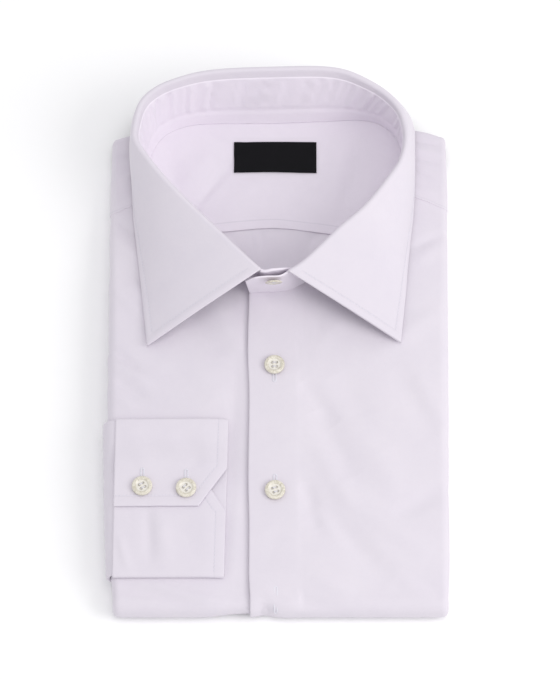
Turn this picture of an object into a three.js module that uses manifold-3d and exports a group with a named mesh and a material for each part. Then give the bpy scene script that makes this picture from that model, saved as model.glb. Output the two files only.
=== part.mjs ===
// A folded poplin dress shirt, lying on its back with the collar standing.
//
// Millimetres. +Z is up from the table, +Y runs from the bottom fold towards the collar and +X to the side of the
// wearer's left front, which laps over the right one. The tables below are in the shirt's own layout frame, whose
// origin lies on the table under the middle of the chest. The finished group is moved so that its origin is the
// middle of the shirt's footprint.
//
// Every cloth piece is a closed wall. Its outer face is a function of two parameters, and its inner face lies the
// cloth's thickness behind it. What lies on a panel is made from the panel's own points, moved out.

import * as THREE from 'three';
import { mergeVertices } from 'three/addons/utils/BufferGeometryUtils.js';
import Module from 'manifold-3d';

const wasm = await Module();
wasm.setup();

// ---------------------------------------------------------------- driving sizes

const CLOTH = 1.2; // one wall of body cloth, as folded
const PLACKET_CLOTH = 1.7; // the front edge, turned in on itself
const SEAM_GAP = 0.3; // air between pieces that touch
const PLACKET_WIDTH = 30.5;
const UNDERLAP_DROP = 2.1; // how far the right front passes under the left one
const UNDERLAP_EDGE_X = 13;

const FOLD_Y = -164; // where the top starts to turn under, at the bottom fold
const FOLD_RADIUS = 9;
const HEM_Y = 126; // where the tail ends underneath
const UNDER_ROLL = 3.7; // radius of the tail's side folds
const UNDER_INSET = 1.2; // how far the tail's sides lie inside those on top
const FLAP = 10; // cloth turned in beyond a side fold

const STAND_WALL = 2.4;
const STAND_LIFT = 0.9; // the stand's foot above the neck seam
const LEAF_WALL = 1.6;
const LEAF_ROLL = 1.3; // radius of the leaf's fold, at the middle of its wall
const LEAF_CROWN = 1.5; // how far the leaf bows out between its fold and its edge

const CUFF_WALL = 1.4;
const CUFF_LEVELS = { under: 1.15, over: 3.2, lap: 5.0 }; // middle of each ply above the front
const SLEEVE_WALL = 1.0;
const SLEEVE_LEVEL = 1.7; // middle of the flattened sleeve above the cloth it lies on
const SLEEVE_HALF = 0.7; // from there to the middle of either ply
const SLEEVE_REACH = 8; // how far it goes into the side of the fold

// The folded body, row by row up the shirt: height of its top at the middle and near the sides, radius of its side
// folds.
const BODY = [
  { y: -164, middle: 18.0, side: 18.0, fold: 4.2 },
  { y: -150, middle: 20.6, side: 20.0, fold: 4.5 },
  { y: -120, middle: 23.6, side: 22.4, fold: 5.0 },
  { y: -60, middle: 26.0, side: 24.4, fold: 5.8 },
  { y: 0, middle: 27.3, side: 24.6, fold: 5.9 },
  { y: 28, middle: 27.8, side: 23.6, fold: 5.6 },
  { y: 60, middle: 25.4, side: 20.8, fold: 4.9 },
  { y: 90, middle: 20.6, side: 17.2, fold: 4.1 },
  { y: 112, middle: 17.0, side: 15.0, fold: 3.4 },
  { y: 137, middle: 14.0, side: 13.5, fold: 2.7 },
  { y: 152, middle: 10.8, side: 12.0, fold: 2.7 },
  { y: 160, middle: 10.5, side: 11.5, fold: 2.7 },
];

// The side folds' outermost lines.
const SIDES = [
  { y: -173, left: -97.6, right: 98.6 },
  { y: -150, left: -99.2, right: 99.2 },
  { y: -100, left: -101.2, right: 99.8 },
  { y: -41, left: -102.7, right: 100.4 },
  { y: 26, left: -103.0, right: 101.1 },
  { y: 100, left: -103.2, right: 101.8 },
  { y: 138, left: -103.2, right: 102.0 },
];

const PLACKET_EDGE = [
  { y: -173, x: -18.2 },
  { y: -150, x: -19.2 },
  { y: -125, x: -18.9 },
  { y: -90, x: -19.6 },
  { y: -40, x: -19.2 },
  { y: -8, x: -20.3 },
  { y: 28, x: -19.2 },
];

// The height of the back panel's inner face, seen through the neck.
const BACK_TOP = [
  { y: -24, z: 20.6 },
  { y: 0, z: 16.0 },
  { y: 20, z: 12.6 },
  { y: 40, z: 10.2 },
  { y: 60, z: 9.2 },
  { y: 84, z: 9.1 },
];
const BACK_SPAN = { left: -74, right: 70, low: -24, high: 84 };
const YOKE_SEAM = [
  { x: -80, y: 71.5 },
  { x: -34, y: 77.0 },
  { x: -4, y: 79.5 },
  { x: 30, y: 75.5 },
  { x: 77, y: 68.0 },
];
const INNER_YOKE_FLOOR = 10.6;

// The neckband from its underlap end, round the back, to its overlap end. The bare ends carry no leaf and give their
// own top edge.
const BAND_START = [
  { footX: 15.5, footY: 44.0, topX: 14.6, topY: 42.4, topZ: 53.0, drop: UNDERLAP_DROP },
  { footX: 9.0, footY: 37.9, topX: 8.6, topY: 36.2, topZ: 55.2, drop: UNDERLAP_DROP },
  { footX: 3.0, footY: 33.8, topX: 3.0, topY: 31.8, topZ: 55.6, drop: UNDERLAP_DROP },
  { footX: -4.0, footY: 32.3, topX: -4.0, topY: 30.0, topZ: 55.4, drop: UNDERLAP_DROP },
];
const BAND_END = [
  { footX: 0.0, footY: 29.2, topX: 0.0, topY: 26.4, topZ: 54.2, drop: 0 },
  { footX: -8.0, footY: 28.7, topX: -8.0, topY: 25.6, topZ: 55.0, drop: 0 },
  { footX: -14.5, footY: 28.5, topX: -14.5, topY: 25.3, topZ: 54.0, drop: 0 },
  { footX: -19.0, footY: 28.2, topX: -21.0, topY: 25.0, topZ: 49.5, drop: 0 },
];

// The collar from the wearer's right point, round the back, to the left point: the neck seam, the crest of the fold
// and the leaf's outer edge.
const COLLAR = [
  { footX: -12.0, footY: 33.2, crestX: -11.8, crestY: 28.8, crestZ: 56.8, edgeX: -79.4, edgeY: -8.0, edgeZ: 28.6, drop: UNDERLAP_DROP },
  { footX: -34.5, footY: 48.0, crestX: -34.6, crestY: 52.4, crestZ: 56.6, edgeX: -82.8, edgeY: 18.3, edgeZ: 26.9, drop: 0.8 },
  { footX: -62.5, footY: 77.0, crestX: -61.8, crestY: 81.8, crestZ: 55.8, edgeX: -87.5, edgeY: 50.0, edgeZ: 24.4, drop: 0 },
  { footX: -77.5, footY: 100.5, crestX: -79.4, crestY: 104.8, crestZ: 54.8, edgeX: -90.8, edgeY: 82.0, edgeZ: 20.2, drop: 0 },
  { footX: -80.6, footY: 115.0, crestX: -88.2, crestY: 120.5, crestZ: 53.8, edgeX: -91.8, edgeY: 106.0, edgeZ: 17.6, drop: 0 },
  { footX: -80.0, footY: 127.0, crestX: -87.8, crestY: 132.0, crestZ: 52.8, edgeX: -92.2, edgeY: 125.0, edgeZ: 16.2, drop: 0 },
  { footX: -74.0, footY: 139.5, crestX: -83.7, crestY: 146.2, crestZ: 51.2, edgeX: -92.2, edgeY: 140.0, edgeZ: 15.4, drop: 0 },
  { footX: -66.0, footY: 146.5, crestX: -75.0, crestY: 155.0, crestZ: 49.8, edgeX: -88.5, edgeY: 155.0, edgeZ: 9.0, drop: 0 },
  { footX: -54.5, footY: 150.8, crestX: -63.0, crestY: 161.2, crestZ: 48.8, edgeX: -76.0, edgeY: 167.5, edgeZ: 4.8, drop: 0 },
  { footX: -40.0, footY: 152.0, crestX: -45.0, crestY: 166.5, crestZ: 47.8, edgeX: -53.0, edgeY: 178.0, edgeZ: 3.2, drop: 0 },
  { footX: -3.0, footY: 152.3, crestX: -6.0, crestY: 169.3, crestZ: 47.2, edgeX: -6.0, edgeY: 182.5, edgeZ: 2.6, drop: 0 },
  { footX: 33.0, footY: 154.0, crestX: 35.5, crestY: 168.4, crestZ: 47.4, edgeX: 42.0, edgeY: 179.0, edgeZ: 3.2, drop: 0 },
  { footX: 50.0, footY: 154.6, crestX: 53.3, crestY: 160.4, crestZ: 48.4, edgeX: 64.0, edgeY: 168.5, edgeZ: 4.8, drop: 0 },
  { footX: 62.0, footY: 151.5, crestX: 65.0, crestY: 151.8, crestZ: 49.6, edgeX: 77.0, edgeY: 157.0, edgeZ: 8.6, drop: 0 },
  { footX: 71.0, footY: 143.0, crestX: 72.8, crestY: 141.0, crestZ: 51.0, edgeX: 81.6, edgeY: 145.0, edgeZ: 15.0, drop: 0 },
  { footX: 75.3, footY: 132.0, crestX: 75.7, crestY: 131.5, crestZ: 52.2, edgeX: 81.8, edgeY: 127.0, edgeZ: 16.2, drop: 0 },
  { footX: 76.8, footY: 120.0, crestX: 76.4, crestY: 119.5, crestZ: 53.6, edgeX: 81.6, edgeY: 108.0, edgeZ: 17.8, drop: 0 },
  { footX: 73.5, footY: 102.5, crestX: 73.2, crestY: 104.6, crestZ: 54.8, edgeX: 80.6, edgeY: 85.0, edgeZ: 20.4, drop: 0 },
  { footX: 66.0, footY: 87.0, crestX: 65.0, crestY: 90.5, crestZ: 55.8, edgeX: 78.4, edgeY: 63.0, edgeZ: 23.8, drop: 0 },
  { footX: 51.5, footY: 67.0, crestX: 50.9, crestY: 71.4, crestZ: 56.4, edgeX: 76.4, edgeY: 40.0, edgeZ: 26.6, drop: 0 },
  { footX: 37.0, footY: 53.0, crestX: 36.8, crestY: 57.8, crestZ: 56.6, edgeX: 75.2, edgeY: 24.0, edgeZ: 27.8, drop: 0 },
  { footX: 13.7, footY: 35.0, crestX: 13.9, crestY: 34.0, crestZ: 56.8, edgeX: 73.0, edgeY: 1.5, edgeZ: 28.8, drop: 0 },
  { footX: 6.0, footY: 30.6, crestX: 5.2, crestY: 27.8, crestZ: 56.8, edgeX: 72.2, edgeY: -6.1, edgeZ: 29.0, drop: 0 },
];

// How the stand's top edge lies under the leaf's fold, at the back and at the front ends.
const STAND_TOP = { backDrop: 5.2, frontDrop: 3.0, inset: 1.1 };

// The outer yoke's edge from the left front seam, over the shoulders and behind the neck, to the right front seam:
// the fold's outermost point, the direction in which it faces, its height there, and the station of the neckband
// (a row of COLLAR, in tenths) that it runs in to.
const YOKE = [
  { x: -103.2, y: 85.6, outX: -1, outY: 0, neck: 2.93 },
  { x: -103.2, y: 106, outX: -1, outY: 0, neck: 3.4 },
  { x: -103.2, y: 124, outX: -1, outY: 0, neck: 4.0 },
  { x: -103.0, y: 132.5, outX: -1, outY: 0.25, neck: 4.4 },
  { x: -101.9, y: 135.8, outX: -0.85, outY: 0.85, neck: 4.7 },
  { x: -98.6, y: 137.2, outX: -0.25, outY: 1, neck: 5.0 },
  { x: -90.0, y: 141.0, outX: -0.36, outY: 0.93, neck: 5.4 },
  { x: -79.0, y: 146.4, outX: -0.4, outY: 0.92, neck: 6.0 },
  { x: -65.0, y: 152.6, outX: -0.3, outY: 0.95, neck: 7.2 },
  { x: -46.0, y: 156.4, outX: -0.12, outY: 1, neck: 8.6 },
  { x: -22.0, y: 157.6, outX: 0, outY: 1, neck: 9.5 },
  { x: 5.0, y: 158.0, outX: 0, outY: 1, neck: 10.3 },
  { x: 32.0, y: 158.8, outX: 0.05, outY: 1, neck: 11.0 },
  { x: 53.0, y: 158.6, outX: 0.25, outY: 0.97, neck: 12.0 },
  { x: 67.5, y: 154.0, outX: 0.4, outY: 0.92, neck: 13.1 },
  { x: 79.0, y: 147.8, outX: 0.38, outY: 0.92, neck: 14.2 },
  { x: 89.0, y: 143.4, outX: 0.32, outY: 0.95, neck: 14.9 },
  { x: 97.6, y: 140.4, outX: 0.25, outY: 1, neck: 15.3 },
  { x: 100.8, y: 139.0, outX: 0.85, outY: 0.85, neck: 15.6 },
  { x: 101.8, y: 135.6, outX: 1, outY: 0.25, neck: 15.9 },
  { x: 102.0, y: 126, outX: 1, outY: 0, neck: 16.1 },
  { x: 101.9, y: 108, outX: 1, outY: 0, neck: 16.6 },
  { x: 101.7, y: 89.3, outX: 1, outY: 0, neck: 17.05 },
];
const YOKE_FLAP = 4;

const LABEL = { left: -28.3, right: 22.4, low: 117.3, high: 138.4, thickness: 1.0 };

// The cuff, spread flat: its seam with the sleeve on the left, its hem on the right.
const CUFF = {
  seamTop: { x: -97.6, y: -54.4 },
  hemTop: { x: -30.8, y: -55.9 },
  seamBottom: { x: -98.2, y: -155.2 },
  hemBottom: { x: -32.7, y: -156.0 },
  lapY: -113, // where the lap ends
  underlapY: -90, // where the ply beneath it ends
  mitre: { across: 16, along: 24 }, // the corner cut off each end at the hem
  rise: 22, // how far before the underlap the lap starts to climb
};

const BUTTON = { radius: 6.1, thickness: 2.3, dish: 0.7, rim: 1.5, holeRadius: 0.75, holeSpacing: 1.25 };
const COLLAR_BUTTON = { x: -3.9, up: 0.6, turn: 0.2, scale: 0.85 };
const FRONT_BUTTONS = [
  { name: 'front_button_1', x: -3.3, y: -20.0, turn: 0 },
  { name: 'front_button_2', x: -2.9, y: -100.1, turn: 0.3 },
];
const CUFF_BUTTONS = [
  { name: 'cuff_button_1', x: -81.1, y: -99.6, turn: 0.5 },
  { name: 'cuff_button_2', x: -55.2, y: -100.9, turn: Math.PI / 4 },
];

// ---------------------------------------------------------------- materials

const poplin = new THREE.MeshStandardMaterial({ color: '#e4e1ee', roughness: 0.75, metalness: 0 });
const poplinInside = new THREE.MeshStandardMaterial({ color: '#dcd8e8', roughness: 0.8, metalness: 0 });
const shell = new THREE.MeshStandardMaterial({ color: '#cdbf9a', roughness: 0.3, metalness: 0 });
const labelCloth = new THREE.MeshStandardMaterial({ color: '#0c0c0f', roughness: 0.7, metalness: 0 });

// ---------------------------------------------------------------- helpers

const clamp = THREE.MathUtils.clamp;
const lerp = THREE.MathUtils.lerp;
const smooth = (x, from, to) => THREE.MathUtils.smoothstep(x, from, to);
const steps = (from, to, count) => Array.from({ length: count + 1 }, (_, i) => lerp(from, to, i / count));

// A smooth curve through a table's rows: cubic pieces whose slopes never overshoot, flat beyond both ends.
function through(rows, key, value) {
  const k = rows.map((row) => row[key]);
  const v = rows.map((row) => row[value]);
  const slope = k.slice(1).map((next, i) => (v[i + 1] - v[i]) / (next - k[i]));
  const tangent = k.map((_, i) => {
    if (i === 0 || i === k.length - 1 || slope[i - 1] * slope[i] <= 0) return 0;
    return (2 * slope[i - 1] * slope[i]) / (slope[i - 1] + slope[i]);
  });
  return (at) => {
    if (at <= k[0]) return v[0];
    if (at >= k[k.length - 1]) return v[v.length - 1];
    const i = k.findIndex((next) => next > at) - 1;
    const span = k[i + 1] - k[i];
    const t = (at - k[i]) / span;
    const startPart = (1 + 2 * t) * (1 - t) ** 2 * v[i] + t * (1 - t) ** 2 * span * tangent[i];
    const endPart = t * t * (3 - 2 * t) * v[i + 1] - t * t * (1 - t) * span * tangent[i + 1];
    return startPart + endPart;
  };
}

// A closed solid from two grids of points with the same rows and columns.
function shellBetween(outer, inner) {
  const rows = outer.length;
  const columns = outer[0].length;
  const points = [...outer.flat(), ...inner.flat()];
  const at = (side, row, column) => side * rows * columns + row * columns + column;
  const faces = [];
  const quad = (a, b, c, d) => faces.push(a, b, c, a, c, d);
  for (let r = 0; r < rows - 1; r += 1) {
    for (let c = 0; c < columns - 1; c += 1) {
      quad(at(0, r, c), at(0, r, c + 1), at(0, r + 1, c + 1), at(0, r + 1, c));
      quad(at(1, r, c), at(1, r + 1, c), at(1, r + 1, c + 1), at(1, r, c + 1));
    }
  }
  for (let c = 0; c < columns - 1; c += 1) {
    quad(at(0, 0, c), at(1, 0, c), at(1, 0, c + 1), at(0, 0, c + 1));
    quad(at(0, rows - 1, c), at(0, rows - 1, c + 1), at(1, rows - 1, c + 1), at(1, rows - 1, c));
  }
  for (let r = 0; r < rows - 1; r += 1) {
    quad(at(0, r, 0), at(0, r + 1, 0), at(1, r + 1, 0), at(1, r, 0));
    quad(at(0, r, columns - 1), at(1, r, columns - 1), at(1, r + 1, columns - 1), at(0, r + 1, columns - 1));
  }
  return closedGeometry(points, faces);
}

// Geometry of a closed body, turned so that its faces point out.
function closedGeometry(points, faces) {
  let volume = 0;
  for (let i = 0; i < faces.length; i += 3) {
    const [a, b, c] = [points[faces[i]], points[faces[i + 1]], points[faces[i + 2]]];
    volume += a.dot(new THREE.Vector3().crossVectors(b, c));
  }
  const index = volume > 0 ? faces : faces.slice().reverse();
  const geometry = new THREE.BufferGeometry().setFromPoints(points);
  geometry.setIndex(index);
  geometry.computeVertexNormals();
  return geometry;
}

// Unit normals of a grid of points, from the neighbours of each.
function gridNormals(grid, facing) {
  return grid.map((row, r) =>
    row.map((_, c) => {
      const before = grid[Math.max(r - 1, 0)][c];
      const after = grid[Math.min(r + 1, grid.length - 1)][c];
      const left = row[Math.max(c - 1, 0)];
      const right = row[Math.min(c + 1, row.length - 1)];
      const along = new THREE.Vector3().subVectors(after, before);
      const across = new THREE.Vector3().subVectors(right, left);
      return along.cross(across).normalize().multiplyScalar(facing);
    }),
  );
}

// A wall of cloth: outer(u, v) is its outer face, and facing is 1 or -1, whichever makes its normals point out.
function wall(us, vs, outer, facing, thickness) {
  const face = vs.map((v) => us.map((u) => outer(u, v)));
  const normals = gridNormals(face, facing);
  const lining = face.map((row, r) =>
    row.map((point, c) => {
      const depth = typeof thickness === 'function' ? thickness(us[c], vs[r]) : thickness;
      return point.clone().addScaledVector(normals[r][c], -depth);
    }),
  );
  return shellBetween(face, lining);
}

// A wall whose given surface is its middle.
function middleWall(us, vs, middle, thickness) {
  const face = vs.map((v) => us.map((u) => middle(u, v)));
  const normals = gridNormals(face, 1);
  const moved = (offset) => face.map((row, r) => row.map((p, c) => p.clone().addScaledVector(normals[r][c], offset)));
  return shellBetween(moved(thickness / 2), moved(-thickness / 2));
}

function piece(name, geometry, material) {
  const mesh = new THREE.Mesh(geometry, material);
  mesh.name = name;
  return mesh;
}

// ---------------------------------------------------------------- the folded body's form

const middleTop = through(BODY, 'y', 'middle');
const sideTop = through(BODY, 'y', 'side');
const foldRadius = through(BODY, 'y', 'fold');
const leftSide = through(SIDES, 'y', 'left');
const rightSide = through(SIDES, 'y', 'right');
const placketEdge = through(PLACKET_EDGE, 'y', 'x');
const backTop = through(BACK_TOP, 'y', 'z');
const yokeSeam = through(YOKE_SEAM, 'x', 'y');
const CROWN_REACH = 98;

const sideLine = (sign, y) => (sign < 0 ? leftSide(y) : rightSide(y));

// The outer face of the shirt's top: highest along the middle, falling to the sides as a parabola.
function bodyTop(x, y) {
  const across = clamp(Math.abs(x) / CROWN_REACH, 0, 1);
  return lerp(middleTop(y), sideTop(y), across * across);
}

// How far the right front lies below that where it runs under the placket.
const underlapDrop = (x) => UNDERLAP_DROP * smooth(x, -46, -22);

// ---------------------------------------------------------------- the neck

const point = (row, kind) => new THREE.Vector3(row[`${kind}X`], row[`${kind}Y`], row[`${kind}Z`] ?? 0);
const curve = (points) => new THREE.CatmullRomCurve3(points, false, 'centripetal');
const crestCurve = curve(COLLAR.map((row) => point(row, 'crest')));
const edgeCurve = curve(COLLAR.map((row) => point(row, 'edge')));
const LAST = COLLAR.length - 1;

// The neck seam with its height, which is the cloth's under the stand's foot.
function footPoint(row) {
  return new THREE.Vector3(row.footX, row.footY, bodyTop(row.footX, row.footY) - row.drop);
}

// The stand's top edge under the leaf's fold: down the stand from the crest, and a little to its inner side.
function topPoint(row, station) {
  if (row.topZ !== undefined) return point(row, 'top');
  const crest = point(row, 'crest');
  const foot = footPoint(row);
  const down = foot.clone().sub(crest).normalize();
  const along = new THREE.Vector3().subVectors(
    point(COLLAR[Math.min(station + 1, LAST)], 'crest'),
    point(COLLAR[Math.max(station - 1, 0)], 'crest'),
  );
  const inward = along.cross(down).normalize();
  const nearFront = 1 - Math.min(station, LAST - station, 4) / 4;
  const drop = lerp(STAND_TOP.backDrop, STAND_TOP.frontDrop, nearFront);
  return crest.addScaledVector(down, drop).addScaledVector(inward, -STAND_TOP.inset);
}

const BAND = [
  ...BAND_START.map((row) => ({ foot: footPoint(row), top: topPoint(row) })),
  ...COLLAR.map((row, station) => ({ foot: footPoint(row), top: topPoint(row, station) })),
  ...BAND_END.map((row) => ({ foot: footPoint(row), top: topPoint(row) })),
];
const footCurve = curve(BAND.map((row) => row.foot));
const topCurve = curve(BAND.map((row) => row.top));
const bandAt = (station) => (station + BAND_START.length) / (BAND.length - 1);
const seamAt = (station) => footCurve.getPoint(bandAt(station));

// The neckline of each front: the stand's foot as a line y over x.
const footRows = [...BAND_START, ...COLLAR, ...BAND_END].map((row) => ({ x: row.footX, y: row.footY }));
const NECK_CORNER = { left: { x: -76.9, y: 98.8 }, right: { x: 73.1, y: 101.4 } };
const leftBranch = [NECK_CORNER.left, ...footRows.slice(0, 7).reverse()];
const rightBranch = [...footRows.slice(22).reverse(), NECK_CORNER.right];
const SHOULDER_SEAM = {
  left: [{ x: -103.2, y: 85.6 }, { x: -90.7, y: 91.0 }, NECK_CORNER.left],
  right: [NECK_CORNER.right, { x: 87.7, y: 95.1 }, { x: 101.7, y: 89.3 }],
};
const necklineLeft = through([...SHOULDER_SEAM.left, ...leftBranch.slice(1)], 'x', 'y');
const necklineRight = through([...rightBranch, ...SHOULDER_SEAM.right.slice(1)], 'x', 'y');

// ---------------------------------------------------------------- fronts

// A front's outer face. along: 0 to 1 down the top, to 2 round the bottom fold, to 3 back under the shirt.
// across: 0 to 1 from the front edge to the side fold, to 2 round it, to 3 across the flap turned in.
function frontFace(sign, along, across) {
  const neckline = sign < 0 ? necklineLeft : necklineRight;
  const frontEdge = (y) => (sign < 0 ? UNDERLAP_EDGE_X : placketEdge(y));
  const flat = clamp(across, 0, 1);
  const turn = Math.PI * clamp(across - 1, 0, 1);
  const inward = FLAP * clamp(across - 2, 0, 1);

  const roughY = lerp(90, FOLD_Y, clamp(along, 0, 1));
  const roughX = lerp(frontEdge(roughY), sideLine(sign, roughY) - sign * foldRadius(roughY), flat);
  const topY = neckline(roughX + sign * foldRadius(90) * Math.sin(turn)) - SEAM_GAP / 2;
  let y = lerp(topY, FOLD_Y, clamp(along, 0, 1));
  if (along > 2) y = lerp(FOLD_Y, HEM_Y, along - 2);

  const radius = along <= 1 ? foldRadius(y) : lerp(foldRadius(FOLD_Y), UNDER_ROLL, clamp(along - 1, 0, 1));
  const inset = UNDER_INSET * clamp((along - 2) * 4, 0, 1);
  const edgeX = sideLine(sign, y) - sign * (radius + inset);
  const baseX = lerp(frontEdge(y), edgeX, flat);
  const x = baseX + sign * (radius * Math.sin(turn) - inward);
  const drop = sign < 0 ? underlapDrop(baseX) : 0;
  const depth = drop + radius * (1 - Math.cos(turn));

  if (along <= 1) return new THREE.Vector3(x, y, bodyTop(baseX, y) - depth);
  const angle = Math.PI * clamp(along - 1, 0, 1);
  const reach = FOLD_RADIUS - depth;
  if (along <= 2) {
    return new THREE.Vector3(x, FOLD_Y - reach * Math.sin(angle), FOLD_RADIUS + reach * Math.cos(angle));
  }
  return new THREE.Vector3(x, y, depth);
}

const ALONG_FRONT = [
  ...steps(0, 1, 14),
  ...steps(1, 2, 6).slice(1),
  2.04,
  2.15,
  2.4,
  2.7,
  3,
];
const ROUND_SIDE = [...steps(1, 2, 6).slice(1), 3];

function front(name, sign, flats) {
  const face = (across, along) => frontFace(sign, along, across);
  const placketEnd = sign > 0 ? PLACKET_WIDTH / (rightSide(0) - placketEdge(0)) : -1;
  const thickness = (across) => (across <= placketEnd ? PLACKET_CLOTH : CLOTH);
  return piece(name, wall([...flats, ...ROUND_SIDE], ALONG_FRONT, face, sign, thickness), poplin);
}

const rightFront = () => front('right_front', -1, [0, 0.1, 0.2, 0.29, 0.36, 0.42, 0.5, 0.62, 0.74, 0.86, 1]);
const leftFront = () => front('left_front', 1, [0, 0.08, 0.16, 0.25, 0.265, 0.36, 0.48, 0.6, 0.73, 0.86, 1]);

// ---------------------------------------------------------------- yokes and back

const yokeColumn = (column) => through(YOKE.map((row, i) => ({ i, value: row[column] })), 'i', 'value');
const yokeEdge = {
  x: yokeColumn('x'),
  y: yokeColumn('y'),
  outX: yokeColumn('outX'),
  outY: yokeColumn('outY'),
  neck: yokeColumn('neck'),
};

// The outer yoke. round: rows of YOKE. down: 0 to 1 from the neck seam to the edge, to 2 round it, to 3 across the
// flap turned under.
function yokeFace(round, down) {
  const out = new THREE.Vector3(yokeEdge.outX(round), yokeEdge.outY(round), 0);
  const edge = new THREE.Vector3(yokeEdge.x(round), yokeEdge.y(round), 0);
  const backNeck = smooth(edge.y, 150, 157);
  const radius = lerp(foldRadius(clamp(edge.y, 85, 137)), 3.4, backNeck);
  const start = edge.clone().addScaledVector(out, -radius);
  const neck = seamAt(yokeEdge.neck(round));
  const seamward = new THREE.Vector3().subVectors(start, neck).setZ(0).normalize();
  neck.addScaledVector(seamward, 2 * SEAM_GAP).setZ(0);
  const flat = clamp(down, 0, 1);
  const turn = Math.PI * clamp(down - 1, 0, 1);
  const inward = YOKE_FLAP * clamp(down - 2, 0, 1);
  const base = neck.lerp(start, flat);
  const seam = { 0: necklineLeft, [YOKE.length - 1]: necklineRight }[round];
  if (seam) base.y = seam(base.x + out.x * radius * Math.sin(turn)) + 3 * SEAM_GAP;
  const top = bodyTop(base.x, base.y);
  base.addScaledVector(out, radius * Math.sin(turn) - inward);
  base.z = top - radius * (1 - Math.cos(turn));
  return base;
}

function yoke() {
  const rounds = YOKE.map((_, i) => i);
  const downs = [0, 0.5, 1, ...steps(1, 2, 5).slice(1), 3];
  return piece('yoke', wall(downs, rounds, (down, round) => yokeFace(round, down), 1, CLOTH), poplin);
}

// The inner yoke: a sheet from the yoke seam to the neck seam, rising to the seam's height at the sides.
function innerYokeFace(round, up) {
  const rim = seamAt(round);
  const centre = new THREE.Vector3(-3, 110, 0);
  const inward = new THREE.Vector3().subVectors(centre, rim).setZ(0).normalize();
  const rimHeight = bodyTop(rim.x, rim.y);
  rim.addScaledVector(inward, 4 * SEAM_GAP);
  const seamY = yokeSeam(rim.x);
  const floor = INNER_YOKE_FLOOR + 3.2 * (Math.abs(rim.x) / 80) ** 4;
  return new THREE.Vector3(rim.x, lerp(seamY, rim.y, up), lerp(floor, rimHeight, up * up) - 0.1);
}

const INNER_YOKE_ROUNDS = [4.1, 5, 6, 7, 8, 8.7, 9.3, 9.7, 10, 10.35, 10.7, 11, 11.6, 12.2, 13, 14, 15, 15.95];

function innerYoke() {
  return piece('inner_yoke', wall(INNER_YOKE_ROUNDS, steps(0, 1, 6), innerYokeFace, -1, CLOTH), poplinInside);
}

// The height of the inner yoke at a point near its middle, for the label.
function innerYokeHeight(x, y) {
  const station = through(
    COLLAR.slice(7, 14).map((row, i) => ({ x: row.footX, station: i + 7 })),
    'x',
    'station',
  )(x);
  const low = innerYokeFace(station, 0);
  const high = innerYokeFace(station, 1);
  return innerYokeFace(station, clamp((y - low.y) / (high.y - low.y), 0, 1)).z;
}

function label() {
  const face = (x, y) => new THREE.Vector3(x, y, innerYokeHeight(x, y) + SEAM_GAP + LABEL.thickness);
  const geometry = wall(steps(LABEL.left, LABEL.right, 6), steps(LABEL.low, LABEL.high, 3), face, -1, LABEL.thickness);
  return piece('label', geometry, labelCloth);
}

function back() {
  const face = (x, y) => new THREE.Vector3(x, y, backTop(y));
  const xs = steps(BACK_SPAN.left, BACK_SPAN.right, 4);
  const ys = steps(BACK_SPAN.low, BACK_SPAN.high, 8);
  return piece('back', wall(xs, ys, face, -1, CLOTH), poplinInside);
}

// ---------------------------------------------------------------- collar

function collarStand() {
  const rounds = [...steps(0, BAND_START.length, 5), ...steps(BAND_START.length, BAND.length - 1, 38).slice(1)];
  const face = (round, up) => {
    const at = round / (BAND.length - 1);
    const foot = footCurve.getPoint(at);
    foot.z += STAND_LIFT;
    return foot.lerp(topCurve.getPoint(at), up);
  };
  return piece('collar_stand', middleWall(rounds, [0, 0.5, 1], face, STAND_WALL), poplin);
}

// The leaf's middle in section: up from the stand's top, over a round fold, and down to the outer edge.
function leafSection(station) {
  const at = station / LAST;
  const crest = crestCurve.getPoint(at);
  const edge = edgeCurve.getPoint(at);
  const top = topCurve.getPoint(bandAt(station));
  const fall = edge.clone().sub(crest).normalize();
  const foot = top.clone().sub(crest).normalize();
  const spread = foot.angleTo(fall) / 2;
  const peak = foot.clone().add(fall).normalize().negate();
  const apex = crest.clone().addScaledVector(peak, LEAF_ROLL / Math.sin(spread) - LEAF_ROLL);
  const inner = top.clone().sub(apex);
  const start = apex.clone().addScaledVector(inner, 1 - SEAM_GAP / inner.length());
  const outer = edge.clone().sub(apex);
  const halfAngle = inner.angleTo(outer) / 2;
  const tangent = LEAF_ROLL / Math.tan(halfAngle);
  const from = apex.clone().addScaledVector(inner.clone().normalize(), tangent);
  const to = apex.clone().addScaledVector(outer.clone().normalize(), tangent);
  const middle = inner.clone().normalize().add(outer.clone().normalize()).normalize();
  const centre = apex.clone().addScaledVector(middle, LEAF_ROLL / Math.sin(halfAngle));
  const turn = Math.PI - 2 * halfAngle;
  const radial = from.clone().sub(centre);
  const axis = new THREE.Vector3().crossVectors(radial, to.clone().sub(centre)).normalize();
  const crownWay = to.clone().sub(centre).normalize();
  return (around) => {
    if (around < 1) return start.clone().lerp(from, around);
    if (around <= 2) return radial.clone().applyAxisAngle(axis, turn * (around - 1)).add(centre);
    const down = around - 2;
    return to.clone().lerp(edge, down).addScaledVector(crownWay, LEAF_CROWN * Math.sin(Math.PI * down));
  };
}

function collarLeaf() {
  const stations = steps(0, LAST, 40);
  const arounds = [0, ...steps(1, 2, 4), 2.12, 2.35, 2.6, 2.8, 3];
  const sections = stations.map(leafSection);
  const face = (index, around) => sections[index](around);
  const columns = stations.map((_, i) => i);
  return piece('collar_leaf', middleWall(columns, arounds, face, LEAF_WALL), poplin);
}

// ---------------------------------------------------------------- sleeve and cuff

// The right front's outer face under the cuff.
const frontUnderCuff = (x, y) => bodyTop(x, y) - underlapDrop(x);

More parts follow.
